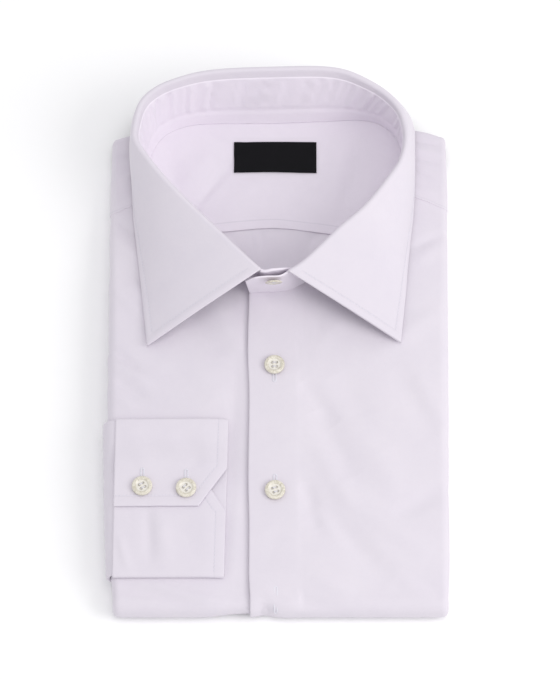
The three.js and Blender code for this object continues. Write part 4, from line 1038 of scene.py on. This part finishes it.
def cuff_path():
    """Places along the shirt and levels above it, from the underlap's end round the loop to the lap's end."""
    fold = (CUFF_LEVEL["over"] - CUFF_LEVEL["under"]) / 2
    middle = (CUFF_LEVEL["over"] + CUFF_LEVEL["under"]) / 2
    top, bottom = CUFF["hem_top"][1], CUFF["hem_bottom"][1]
    turn = np.linspace(0, np.pi, 13)[1:]
    under = np.linspace(CUFF["underlap"], bottom + fold, 50)
    lower = np.linspace(bottom + fold, top - fold, 40)[1:]
    over = np.linspace(top - fold, CUFF["lap"], 50)[1:]
    climb = smooth(over, CUFF["underlap"] + 4, CUFF["underlap"] + CUFF["rise"])
    low_turn, high_turn = bottom + fold - fold * np.sin(turn), top - fold + fold * np.sin(turn)
    y = np.concatenate([under, low_turn, lower, high_turn, over])
    level = np.concatenate([
        np.full(50, CUFF_LEVEL["over"]),
        middle + fold * np.cos(turn),
        np.full(39, CUFF_LEVEL["under"]),
        middle - fold * np.cos(turn),
        mix(CUFF_LEVEL["lap"], CUFF_LEVEL["over"], climb),
    ])
    ply = np.repeat([0, 1, 1, 1, 2], [50, 12, 39, 12, 49])
    return y, level, ply


y, level, ply = cuff_path()
share = (y - CUFF["hem_bottom"][1]) / (CUFF["hem_top"][1] - CUFF["hem_bottom"][1])
hem_x = mix(CUFF["hem_bottom"][0], CUFF["hem_top"][0], share)
from_end = np.where(ply == 2, y - CUFF["lap"], CUFF["underlap"] - y)
corner = np.clip(1 - from_end / CUFF["mitre_along"], 0, 1) * (ply != 1)
hem_x = hem_x - CUFF["mitre_across"] * corner
seam_x = mix(CUFF["seam_bottom"][0], CUFF["seam_top"][0], share)
across = np.linspace(0, 1, 56)
x = mix(seam_x[:, None], hem_x[:, None], across)
row_y = np.broadcast_to(y[:, None], x.shape)
z = body_top(x, row_y) - underlap_drop(x) + level[:, None]
face = np.stack([x, row_y, z], -1)
normal = normals_of(face, 1)
CUFF_CREASES = [
    (-78, -112, -76, -146, 3.6, -1.0),
    (-71, -114, -66, -146, 5.0, 0.8),
    (-97, -126, -88, -150, 2.8, 0.8),
    (-60, -62, -46, -88, 6.0, -0.8),
    (-90, -60, -76, -92, 6.0, 0.6),
    (-62, -120, -42, -146, 7.0, -0.7),
    (-92, -66, -40, -72, 6.0, -0.5),
]
above = (normal[..., 2] > 0.5).astype(float)
mitre_angle = np.arctan2(CUFF["mitre_across"], CUFF["mitre_along"]) * (corner > 0)
to_hem = (hem_x[:, None] - x) * np.cos(mitre_angle)[:, None]
to_underlap = np.where(ply[:, None] == 0, CUFF["underlap"] - row_y, NO_STITCH)
to_lap = np.where(ply[:, None] == 2, row_y - CUFF["lap"], to_underlap)
nearest = np.minimum(to_hem, to_lap)
cuff_stitch = nearest - CUFF_STITCH
relief = creases(x, row_y, CUFF_CREASES) + waves(x, row_y, 3, (41, 29), 0.06)
puff = 0.1 * np.sin(np.pi * np.clip(nearest / CUFF_STITCH, 0, 1))
dent = 0.08 * np.exp(-((cuff_stitch / 0.9) ** 2))
relief += puff - dent
relief *= above * smooth(np.minimum(x - seam_x[:, None], 6.0), 0.0, 6.0)
outer = face + normal * (CUFF_WALL / 2 + relief[..., None])
cuff_top = outer
cuff_normal = normal
cuff = sheet_mesh("right_cuff_cloth", outer, face - normal * CUFF_WALL / 2, cuff_stitch)
place(cuff, white, "poplin", "right_cuff")

# %% Sleeve
SLEEVE_WALL = 1.0
SLEEVE_LEVEL = 1.7
SLEEVE_HALF = 0.7
SLEEVE_REACH = 8.0
SLEEVE_TUCK = 3.0


def sleeve_face(rounds, loop_y, rise, out_y, half):
    """One face of the flattened sleeve: the cloth under it, carried round the side fold and into it.
    rounds: 0-1 from the cuff's seam round the fold, 1-2 inside it. rise and out_y turn round the loop."""
    radius = fold_radius(loop_y)[None, :]
    centre_x = left_side(loop_y)[None, :] + radius
    centre_z = side_top(loop_y)[None, :] - radius
    share = (loop_y - CUFF["seam_bottom"][1]) / (CUFF["seam_top"][1] - CUFF["seam_bottom"][1])
    start_x = mix(CUFF["seam_bottom"][0], CUFF["seam_top"][0], share)[None, :] + SLEEVE_TUCK
    flat = np.maximum(start_x - centre_x, 0)
    start_angle = np.arcsin(np.clip((centre_x - start_x) / radius, 0, 1))
    distance = np.clip(rounds, 0, 1)[:, None] * (flat + radius * (np.pi - start_angle))
    angle = start_angle + np.maximum(distance - flat, 0) / radius
    on_flat = distance < flat
    out_x = np.where(on_flat, 0.0, -np.sin(angle))
    out_z = np.where(on_flat, 1.0, np.cos(angle))
    x = np.where(on_flat, start_x - distance, centre_x + radius * out_x)
    x = x + SLEEVE_REACH * np.clip(rounds - 1, 0, 1)[:, None]
    z = np.where(on_flat, body_top(x, loop_y[None, :]), centre_z + radius * out_z)
    level = SLEEVE_LEVEL + rise[None, :] * half
    y = np.broadcast_to(loop_y[None, :] + out_y[None, :] * half, x.shape)
    return np.stack([x + out_x * level, y, z + out_z * level], -1)


low, high = CUFF["seam_bottom"][1] + 1.4, CUFF["seam_top"][1] - 2.2
flat_run = np.linspace(low, high, 60)
bend = np.linspace(0, np.pi, 9)[1:-1]
loop_y = np.concatenate([flat_run, np.full(7, high), flat_run[::-1], np.full(7, low)])
rise = np.concatenate([np.ones(60), np.cos(bend), -np.ones(60), -np.cos(bend)])
out_y = np.concatenate([np.zeros(60), np.sin(bend), np.zeros(60), -np.sin(bend)])
rounds = steps((0, 1, 34), (1, 2, 6))
gathered = 0.22 * np.sin(2 * np.pi * loop_y / 9.0 + np.sin(loop_y / 11.0)) * (rise > 0.9)
fade = np.clip(rounds, 0, 1)[:, None] ** 0.5
outer = sleeve_face(rounds, loop_y, rise, out_y, SLEEVE_HALF + SLEEVE_WALL / 2)
inner = sleeve_face(rounds, loop_y, rise, out_y, SLEEVE_HALF - SLEEVE_WALL / 2)
outward = unit(outer - inner)
outer = outer + outward * (gathered[None, :] * fade)[..., None]
sleeve = sheet_mesh("right_sleeve_cloth", outer, inner, ring=True)
place(sleeve, white, "poplin", "right_sleeve")

# %% [markdown]
# ## The hidden layers
#
# Between the folded fronts lie the other sleeve, the tails and the rest of the back. Only their edges show,
# in the groove between the upper and lower side folds and at the back. They are one rounded body whose edge
# is cut into plies, a section for each place along the shirt.

# %% Core
CORE_DEPTH = 3.7
CORE_INSET = 17.0
PLIES = 5
TONGUE = np.array([
    # y, how far the plies end from the side line on the left, and on the right
    (-156, 17, 17),
    (-150, 17, 9),
    (-40, 17, 8),
    (-30, 8.5, 8),
    (70, 8.5, 8.5),
    (84, 17, 17),
])
tongue = {-1: through(TONGUE[:, 0], TONGUE[:, 1]), 1: through(TONGUE[:, 0], TONGUE[:, 2])}
CORE_ENDS = [(120.5, 6.6), (124.5, 6.4), (125.0, 5.2), (128.5, 5.0), (129.5, 4.4)]


def core_top(x, y):
    """Under the fronts everywhere, and under the back and the inner yoke where the neck is open."""
    under = body_top(x, y) - CORE_DEPTH
    if y < BACK_SPAN["low"] - 4:
        return under
    hollow = back_top(y) - CLOTH - GAP
    if y > 86:
        hollow = mix(YOKE_FLOOR - CLOTH - 2 * GAP, 7.9, smooth(y, 96, 122))
    return np.minimum(under, hollow + 6 * smooth(np.abs(x), 74, 84))


def core_half(sign, y, ceiling_cap):
    """Half a section, from the top's middle to the sole's."""
    edge = side_line(sign, y)
    inner = edge - sign * CORE_INSET
    reach = edge - sign * tongue[sign](y)
    high = min(side_top(y) - 2 * fold_radius(y) - GAP, min(core_top(inner, y), ceiling_cap) - 0.6)
    low = min(2 * UNDER_ROLL + GAP, high - 0.6)
    top_x = np.array([sign * 30, inner - sign * 12, inner])
    top_z = np.minimum(core_top(top_x, y), ceiling_cap)
    top_z[2] = mix(high, top_z[2], 0.8)
    down = np.linspace(0.02, 0.98, 4 * PLIES + 1)
    has_tongue = abs(reach - inner) > 1
    ragged = 0.5 * np.sin(7.0 * np.floor(down * PLIES) + 0.02 * y)
    ply = np.abs(np.sin(np.pi * PLIES * down)) ** 0.5
    plies = reach - sign * (1.4 - 1.1 * ply + ragged)
    plain = inner + sign * (0.1 + 0.2 * np.sin(np.pi * down))
    side_x = plies if has_tongue else plain
    side_z = mix(high, low, down)
    sole = [(inner, low), (inner, low - 0.3), (inner, 1.5), (-56, 1.5), (-46, 3.8)]
    if sign > 0:
        sole = sole[:3] + [(26, 1.5), (16, 3.8)]
    points = [*zip(top_x, top_z), (inner, high), *zip(side_x, side_z), *sole]
    return np.array(points)


def core_section(y, tilt=0.0, cap=99.0):
    """A whole section; a tilted one lies on the way round the bottom fold."""
    turn = math.radians(tilt)
    right, left = core_half(1, y, cap), core_half(-1, y, cap)
    flat = np.vstack([right, left[::-1]])
    z = FOLD_RADIUS + (flat[:, 1] - FOLD_RADIUS) * math.cos(turn) if tilt > 0 else flat[:, 1]
    row = np.full(len(flat), y - (FOLD_RADIUS - CORE_DEPTH) * math.sin(turn))
    return np.column_stack([flat[:, 0], row, z])


core_rows = [core_section(FOLD_Y, tilt) for tilt in (82, 70, 55, 40, 25, 12)]
for start, stop, count in ((-164, -30.5, 40), (-29.5, 70, 34), (70, 86, 10), (86.5, 120, 14)):
    core_rows += [core_section(y) for y in np.linspace(start, stop, count)]
core_rows += [core_section(y, 0.0, cap) for y, cap in CORE_ENDS]
grid = np.array(core_rows)
core = build_mesh("folded_layers_cloth", grid.reshape(-1, 3), turned_quads(*grid.shape[:2]))
place(core, white_inside, "poplin", "folded_layers")

# %% [markdown]
# ## The label
#
# A plain black woven tape, folded at both ends and sewn down along them. Satin tape is smoother than the
# cotton round it, so it is the one dark and slightly glossy thing in the neck.

# %% Label
def inner_yoke_height(x, y):
    """Height of the inner yoke's face near its middle."""
    station = through(COLLAR[7:14, 0], np.arange(7, 14))(x)
    ends = inner_yoke_face(station, np.array([[0.0, 1.0]]))
    up = np.clip((y - ends[0, :, 1]) / (ends[1, :, 1] - ends[0, :, 1]), 0, 1)
    return ends[0, :, 2] + (ends[1, :, 2] - ends[0, :, 2]) * up**2


def tape_material():
    """Black satin tape: fine ribs across it. Its stitching is the same black and is not drawn."""
    material, tree, shader = new_material("black_tape")
    uv = node(tree, "ShaderNodeUVMap", uv_map="cloth")
    split = node(tree, "ShaderNodeSeparateXYZ")
    tree.links.new(uv.outputs[0], split.inputs[0])
    rib = math_node(tree, "SINE", math_node(tree, "MULTIPLY", split.outputs[1], 2 * math.pi / 0.0006))
    bump = node(tree, "ShaderNodeBump", Strength=0.4, Distance=0.0001)
    tree.links.new(rib, bump.inputs["Height"])
    tree.links.new(bump.outputs[0], shader.inputs["Normal"])
    shade = ramp(tree, rib, (0.002, 0.002, 0.003), (0.006, 0.006, 0.008))
    tree.links.new(shade, shader.inputs["Base Color"])
    set_values(shader, Roughness=0.6, Specular_IOR_Level=0.12)
    return material


x, y = span_grid(LABEL, 70, 30)
columns_x = x[0]
label_z = np.stack([inner_yoke_height(columns_x, np.full_like(columns_x, row)) for row in y[:, 0]])
sag = 0.12 * np.cos(2 * np.pi * (x + 3) / 50.7) - 0.2 * smooth(np.abs(x + 2.95), 23.6, 24.6)
drape = inner_relief(x, y) * (1 - smooth((y - 75) / 76, 0.85, 1.0))
face = np.stack([x, y, label_z + GAP + LABEL["thickness"] + sag + drape], -1)
label_normal = normals_of(face, -1)
label = sheet_mesh("label_tape", face, face - label_normal * LABEL["thickness"] * 0.9)
place(label, tape_material(), "label", "label")

# %% [markdown]
# ## Buttons
#
# Shell buttons have a rounded rim, a shallow dish and four holes. Each is a profile turned round its axis,
# with the holes pressed into the grid as smooth wells, and two bars of thread that cross it from hole to
# hole. The collar's is a smaller and thinner one, which hangs forward on its thread, clear of the band.

# %% Button shape
BUTTON = {"radius": 6.1, "thickness": 2.3, "dish": 0.7, "hole": 0.8, "spacing": 1.3}


def button_points(turns=96):
    """Top face by rings: a flat rim, a dish inside it, and four wells; then the rounded edge and the back."""
    radius, thick = BUTTON["radius"], BUTTON["thickness"]
    ring = np.concatenate([np.linspace(0.12, 3.0, 22), np.linspace(3.15, radius - 1.0, 12)])
    dish = BUTTON["dish"] * (1 - smooth(ring, radius - 3.0, radius - 1.5))
    top = thick - dish - 0.12 * smooth(ring, radius - 2.0, radius - 1.0)
    edge_turn = np.linspace(0, 1, 9)
    edge_r = radius - 1.0 + np.sin(edge_turn * np.pi / 2)
    edge_z = thick - 0.12 - 0.9 * (1 - np.cos(edge_turn * np.pi / 2))
    under_r = np.concatenate([np.linspace(radius, radius - 1.3, 7)[1:], [3.0, 0.12]])
    under_z = np.concatenate([(thick - 1.02) * (1 - np.linspace(0, 1, 7)[1:]) ** 1.6, [0.0, 0.0]])
    r = np.concatenate([ring, edge_r[1:], under_r])
    z = np.concatenate([top, edge_z[1:], under_z])
    theta = np.linspace(0, 2 * np.pi, turns, endpoint=False)
    x, y = r[:, None] * np.cos(theta), r[:, None] * np.sin(theta)
    height = np.repeat(z[:, None], turns, axis=1)
    for i in (-1, 1):
        for j in (-1, 1):
            away = np.hypot(x - i * BUTTON["spacing"], y - j * BUTTON["spacing"])
            well = 1 - smooth(away, BUTTON["hole"] - 0.25, BUTTON["hole"] + 0.15)
            height[: len(ring)] -= 1.3 * well[: len(ring)]
    return np.stack([x, y, height], -1)


def basis(normal, turn):
    """Three axes: the third is normal, and the first is turned round it from the shirt's own +X."""
    up = unit(np.asarray(normal, float))
    first = unit(np.cross([0.0, 1.0, 0.0], up)) if abs(up[1]) < 0.9 else unit(np.cross(up, [0.0, 0.0, 1.0]))
    second = np.cross(up, first)
    ahead = first * math.cos(turn) + second * math.sin(turn)
    return np.stack([ahead, np.cross(up, ahead), up])


def thread_bars():
    """Two bars of thread between the holes: thin tubes on a low arch."""
    bars = []
    s = np.linspace(0, np.pi, 11)[:, None]
    theta = np.linspace(0, 2 * np.pi, 8, endpoint=False)[None, :]
    for j in (-1, 1):
        x = -BUTTON["spacing"] * np.cos(s) + 0 * theta
        y = j * BUTTON["spacing"] + 0.3 * np.cos(theta) + 0 * s
        z = BUTTON["thickness"] - BUTTON["dish"] - 0.35 + 0.5 * np.sin(s) ** 0.6 + 0.26 * np.sin(theta)
        bars.append(np.stack([x, y, z], -1))
    return bars


# %% Button material
def shell_material():
    """Shell: an olive and cream rim round a paler dish, cloudy along its growth lines, under clear gloss."""
    material, tree, shader = new_material("button_shell")
    place_node = node(tree, "ShaderNodeTexCoord")
    lines = node(tree, "ShaderNodeTexNoise", Scale=700.0, Detail=3.0, Distortion=1.5)
    tree.links.new(place_node.outputs["Object"], lines.inputs["Vector"])
    tone = ramp(tree, lines.outputs[0], (0.56, 0.52, 0.42), (0.79, 0.75, 0.66), (0.35, 0.65))
    ring = node(tree, "ShaderNodeAttribute", attribute_name="ring_mm")
    pale = node(tree, "ShaderNodeMapRange", interpolation_type="SMOOTHSTEP", From_Min=3.9, From_Max=3.1)
    tree.links.new(ring.outputs["Fac"], pale.inputs["Value"])
    mixed = node(tree, "ShaderNodeMix", data_type="RGBA")
    tree.links.new(math_node(tree, "MULTIPLY", pale.outputs[0], 0.75), mixed.inputs["Factor"])
    tree.links.new(tone, mixed.inputs[6])
    mixed.inputs[7].default_value = (0.80, 0.77, 0.72, 1)
    tree.links.new(mixed.outputs[2], shader.inputs["Base Color"])
    set_values(shader, Roughness=0.28, Coat_Weight=0.5, Coat_Roughness=0.12)
    return material


def thread_material():
    """White cotton thread, twisted."""
    material, tree, shader = new_material("white_thread")
    place_node = node(tree, "ShaderNodeTexCoord")
    twist = node(tree, "ShaderNodeTexNoise", Scale=3000.0, Detail=1.0)
    tree.links.new(place_node.outputs["Object"], twist.inputs["Vector"])
    tone = ramp(tree, twist.outputs[0], (0.62, 0.61, 0.68), (0.82, 0.81, 0.87))
    tree.links.new(tone, shader.inputs["Base Color"])
    set_values(shader, Roughness=0.6)
    return material


shell = shell_material()
thread = thread_material()


# %% Buttons in their places
def slope_normal(field, x, y, run=3.0):
    """The way out of a height field at a point."""
    slope_x = (field(x + run, y) - field(x - run, y)) / (2 * run)
    slope_y = (field(x, y + run) - field(x, y - run)) / (2 * run)
    return unit(np.array([-slope_x, -slope_y, 1.0]))


def set_button(name, seat, normal, turn, scale=1.0):
    """A button whose back lies GAP off its seat, with its thread. scale: a number, or one for each axis."""
    axes = basis(normal, turn)
    start = np.asarray(seat, float) + GAP * axes[2]
    grid = button_points()
    points = start + (scale * grid.reshape(-1, 3)) @ axes
    piece = build_mesh(f"{name}_shell", points, turned_quads(*grid.shape[:2]))
    ring = piece.data.attributes.new("ring_mm", "FLOAT", "POINT")
    ring.data.foreach_set("value", np.hypot(grid[..., 0], grid[..., 1]).astype(np.float32).ravel())
    place(piece, shell, "button_shell", name)
    for k, bar in enumerate(thread_bars()):
        bar_points = start + (scale * bar.reshape(-1, 3)) @ axes
        bar_piece = build_mesh(f"{name}_thread_{k + 1}", bar_points, turned_quads(*bar.shape[:2]))
        place(bar_piece, thread, "poplin")
    return piece


def cuff_ground(x, y):
    """Height of the right front under the cuff."""
    return body_top(x, y) - underlap_drop(x)


LAP_FACE = CUFF_LEVEL["lap"] + CUFF_WALL / 2
COLLAR_BUTTON = {
    "scale": np.array([0.85, 0.85, 0.6]),
    "rim": 6.0,
    "lean": np.array([0.0, -0.08, -0.2]),
    "height": 0.9,
}
for number, (x, y, turn) in enumerate(((-3.3, -20.0, 0.0), (-2.9, -100.1, 0.3)), 1):
    seat = (x, y, float(body_top(x, y)) + 0.1)
    set_button(f"front_button_{number}", seat, slope_normal(body_top, x, y), turn)
for number, (x, y, turn) in enumerate(((-81.1, -99.6, 0.5), (-55.2, -100.9, math.pi / 4)), 1):
    seat = (x, y, float(cuff_ground(x, y)) + LAP_FACE)
    set_button(f"cuff_button_{number}", seat, slope_normal(cuff_ground, x, y), turn)
end_seams = seam_points(BAND_END)
BUTTON_X = -3.9
share = (BAND_END[0, 0] - BUTTON_X) / (BAND_END[0, 0] - BAND_END[1, 0])
band_foot = mix(end_seams[0], end_seams[1], share)
band_top = mix(BAND_END[0, 2:5], BAND_END[1, 2:5], share)
band_facing = unit(np.cross(end_seams[0] - end_seams[1], band_top - band_foot))
facing = unit(band_facing + COLLAR_BUTTON["lean"])
tilt = math.acos(float(band_facing @ facing))
tilt_rise = COLLAR_BUTTON["scale"][0] * COLLAR_BUTTON["rim"] * math.sin(tilt)
seat = mix(band_foot, band_top, COLLAR_BUTTON["height"]) + band_facing * (STAND_WALL / 2 + tilt_rise)
set_button("collar_button", seat, facing, 0.2, COLLAR_BUTTON["scale"])
print("collar button: degrees", round(math.degrees(tilt), 1), "and mm further out", round(tilt_rise, 2))

# %% [markdown]
# ## Buttonholes and stitches
#
# A buttonhole is a slit between two rows of dense stitches with a bar at either end. It could be painted
# on, but a low rope of thread round the slit catches the light as the real one does. The topstitching of
# the leaf and the cuff is short threads, each a small capsule that lies in the groove which the cloth
# already has.

# %% Thread that lies on the cloth
HOLE_WIDTH = 1.7
STITCH_PITCH = 2.1
THREAD_RADIUS = 0.19


def rope(name, line, radius, around, squash, ups):
    """A tube round a closed line of points: each ring is square to the line and to the cloth's way out."""
    ahead = unit(np.roll(line, -1, 0) - np.roll(line, 1, 0))
    aside = unit(np.cross(ahead, ups))
    above = np.cross(aside, ahead)
    theta = np.linspace(0, 2 * np.pi, around, endpoint=False)[None, :, None]
    ring = aside[:, None] * np.cos(theta) + above[:, None] * np.sin(theta) * squash
    grid = line[:, None] + np.asarray(radius)[..., None, None] * ring
    rows = len(line)
    r, c = np.meshgrid(np.arange(rows), np.arange(around), indexing="ij")
    a, b = r * around + c, r * around + (c + 1) % around
    d, e = (r + 1) % rows * around + c, (r + 1) % rows * around + (c + 1) % around
    quads = np.column_stack([a.ravel(), d.ravel(), e.ravel(), b.ravel()])
    return build_mesh(name, grid.reshape(-1, 3), quads)


def buttonhole(name, field, centre, length):
    """A rope of thread round a slit: a stadium whose stitches swell it every 0.5 mm."""
    t = np.linspace(0, 1, 180, endpoint=False)
    half, end = length / 2, HOLE_WIDTH / 2
    straight = length - HOLE_WIDTH
    total = 2 * straight + np.pi * HOLE_WIDTH
    s = t * total
    arc = np.pi * end
    first = s < straight
    second = (s >= straight) & (s < straight + arc)
    third = (s >= straight + arc) & (s < 2 * straight + arc)
    angle = np.where(second, (s - straight) / end, (s - 2 * straight - arc) / end + np.pi)
    run = np.where(first, s - straight / 2, np.where(third, straight * 1.5 + arc - s, 0.0))
    bend_run = np.where(second, straight / 2, -straight / 2) + end * np.sin(angle)
    straight_part = first | third
    along = np.where(straight_part, run, bend_run)
    aside = np.where(first, end, np.where(third, -end, end * np.cos(angle)))
    x, y = centre[0] + aside, centre[1] + along
    line = np.stack([x, y, field(x, y)], -1)
    ups = np.broadcast_to([0.0, 0.0, 1.0], line.shape)
    swell = 0.42 + 0.05 * np.cos(2 * np.pi * s / 0.5)
    hole = rope(name, line, swell, 8, 0.7, ups)
    return place(hole, thread, "poplin")


def front_ground(x, y):
    """Height of the placket, also on the way round the bottom fold."""
    round_it = np.clip((FOLD_Y - y) / FOLD_RADIUS, 0.0, 0.995)
    folded = FOLD_RADIUS * (1 + (1 - round_it**FOLD_SQUARE) ** (1 / FOLD_SQUARE))
    return np.where(y < FOLD_Y, folded - 0.25, body_top(x, y)) + PLACKET_STEP - 0.1


def lap_ground(x, y):
    """Height of the cuff's lap."""
    return cuff_ground(x, y) + LAP_FACE + creases(x, y, CUFF_CREASES) + 0.1


for number, (x, y) in enumerate(((-3.3, -23.4), (-2.9, -96.8), (-2.5, -165.6)), 1):
    buttonhole(f"front_buttonhole_{number}", front_ground, (x, y), 14.0)
for number, (x, y) in enumerate(((-81.1, -95.6), (-55.2, -96.6)), 1):
    buttonhole(f"cuff_buttonhole_{number}", lap_ground, (x, y), 15.0)


def stitch_row(name, line, ups):
    """Short threads along a line, two thirds of the pitch long: every one a capsule of 28 faces."""
    step = np.linalg.norm(np.diff(line, axis=0), axis=1)
    run = np.concatenate([[0.0], np.cumsum(step)])
    starts = np.arange(STITCH_PITCH / 2, run[-1] - STITCH_PITCH, STITCH_PITCH)
    local = np.linspace(0, 1, 5)[None, :]
    at = starts[:, None] + 0.68 * STITCH_PITCH * local
    centre = np.stack([np.interp(at, run, line[:, k]) for k in range(3)], -1)
    up = unit(np.stack([np.interp(at, run, ups[:, k]) for k in range(3)], -1))
    ahead = unit(np.gradient(centre, axis=1))
    aside = unit(np.cross(ahead, up))
    radius = THREAD_RADIUS * np.array([0.35, 0.9, 1.0, 0.9, 0.35])[None, :, None, None]
    centre = centre + up * (0.16 * np.sin(np.pi * local)[..., None] - 0.06)
    theta = np.linspace(0, 2 * np.pi, 6, endpoint=False)[None, None, :, None]
    ring = aside[:, :, None] * np.cos(theta) + up[:, :, None] * np.sin(theta)
    grid = centre[:, :, None] + radius * ring
    quads = turned_quads(5, 6)
    quads = (quads[None] + 30 * np.arange(len(starts))[:, None, None]).reshape(-1, 4)
    return place(build_mesh(name, grid.reshape(-1, 3), quads), thread, "poplin")


def line_at(grid, normal, away, distance, axis):
    """Along every row, or column, of a grid, the point at which a distance field first reaches a value."""
    if axis == 0:
        grid, normal, away = (np.swapaxes(v, 0, 1) for v in (grid, normal, away))
    columns = away.shape[1]
    order = np.arange(columns)[::-1]
    field = away[:, order]
    index = np.clip(np.argmax(field >= distance, axis=1), 1, columns - 1)
    row = np.arange(len(field))
    low, high = field[row, index - 1], field[row, index]
    t = np.clip((distance - low) / np.maximum(high - low, 1e-6), 0, 1)[:, None]
    return tuple(mix(v[row, order[index - 1]], v[row, order[index]], t) for v in (grid, normal))


from_start, from_stop = run_from(leaf_face, 1), run_from(leaf_face, 1, backwards=True)
between_ends = (from_start.mean(0) > LEAF_STITCH) & (from_stop.mean(0) > LEAF_STITCH)
on_limb = (arounds > 2.05) & (leaf_to_edge.mean(1) > LEAF_STITCH)
limb = [v[on_limb] for v in (leaf_top, leaf_normal)]
rows = {
    "leaf_stitches_edge": line_at(leaf_top[:, between_ends], leaf_normal[:, between_ends],
                                  leaf_to_edge[:, between_ends], LEAF_STITCH, 0),
    "leaf_stitches_left": line_at(*limb, from_stop[on_limb], LEAF_STITCH, 1),
    "leaf_stitches_right": line_at(*(v[:, ::-1] for v in limb), from_start[on_limb][:, ::-1], LEAF_STITCH, 1),
}
lap_rows = (ply == 2) & (from_end > CUFF_STITCH)
under_rows = (ply == 0) & (from_end > CUFF_STITCH)
for name, chosen in (("cuff_stitches_hem", lap_rows), ("cuff_stitches_underlap", under_rows)):
    rows[name] = line_at(cuff_top[chosen], cuff_normal[chosen], to_hem[chosen], CUFF_STITCH, 1)
lap_row = np.where(lap_rows)[0][-1]
on_lap = to_hem[lap_row] > CUFF_STITCH
rows["cuff_stitches_lap"] = cuff_top[lap_row, on_lap], cuff_normal[lap_row, on_lap]
for name, (line, ups) in rows.items():
    stitch_row(name, line, ups)

# %% [markdown]
# ## Light, floor and camera
#
# Product light for white cloth: a large soft lamp to the right, which models the collar, a second one high
# overhead, and a bright even surround, which keeps the shadows pale. The camera stands far off with a long
# lens, as for a catalogue.

# %% Floor
FLOOR_LEVEL = -0.0005
floor_mesh = bpy.data.meshes.new("floor")
corners = [(x, y, FLOOR_LEVEL) for x, y in ((-3, -3), (3, -3), (3, 3), (-3, 3))]
floor_mesh.from_pydata(corners, [], [(0, 1, 2, 3)])
floor = bpy.data.objects.new("floor", floor_mesh)
bpy.context.scene.collection.objects.link(floor)
pale, tree, shader = new_material("pale_floor")
set_values(shader, Base_Color=(0.985, 0.985, 0.99, 1), Roughness=0.9)
floor_mesh.materials.append(pale)

# %% Lights
def soft_lamp(name, location, size, power, colour, target=(0.0, 0.0, 0.02)):
    """A square area lamp that faces its target."""
    data = bpy.data.lights.new(name, "AREA")
    data.shape = "SQUARE"
    data.size = size
    data.energy = power
    data.color = colour
    lamp = bpy.data.objects.new(name, data)
    bpy.context.scene.collection.objects.link(lamp)
    way = np.array(target) - np.array(location)
    lamp.location = location
    lamp.rotation_euler = (math.acos(-way[2] / np.linalg.norm(way)), 0, math.atan2(way[0], -way[1]) + math.pi)
    return lamp


soft_lamp("key", (1.2, -0.5, 1.1), 1.0, 9.8, (1.0, 0.985, 0.97))
soft_lamp("overhead", (0.1, -0.3, 2.5), 1.2, 11.5, (1.0, 0.99, 0.985))
world = bpy.data.worlds.new("surround")
bpy.context.scene.world = world
world.use_nodes = True
world.node_tree.nodes["Background"].inputs["Color"].default_value = (0.98, 0.985, 1.0, 1)
world.node_tree.nodes["Background"].inputs["Strength"].default_value = 0.75
bpy.context.scene.view_settings.view_transform = "Standard"

# %% Camera
DISTANCE = 2.6
ELEVATION = math.radians(65)
TARGET = to_model(np.array([0.0, 0.0, 20.0]))
MM_PER_PIXEL = 0.6
LONG_SIDE = 680
camera_data = bpy.data.cameras.new("camera")
camera_data.sensor_width = 36.0
camera_data.lens = 36.0 * DISTANCE * 1000 / (LONG_SIDE * MM_PER_PIXEL)
camera_data.clip_end = 20.0
camera = bpy.data.objects.new("camera", camera_data)
bpy.context.scene.collection.objects.link(camera)
camera.location = TARGET + DISTANCE * np.array([0.0, -math.cos(ELEVATION), math.sin(ELEVATION)])
camera.rotation_euler = (math.pi / 2 - ELEVATION, 0, 0)
bpy.context.scene.camera = camera
print("lens, mm:", round(camera_data.lens, 1))
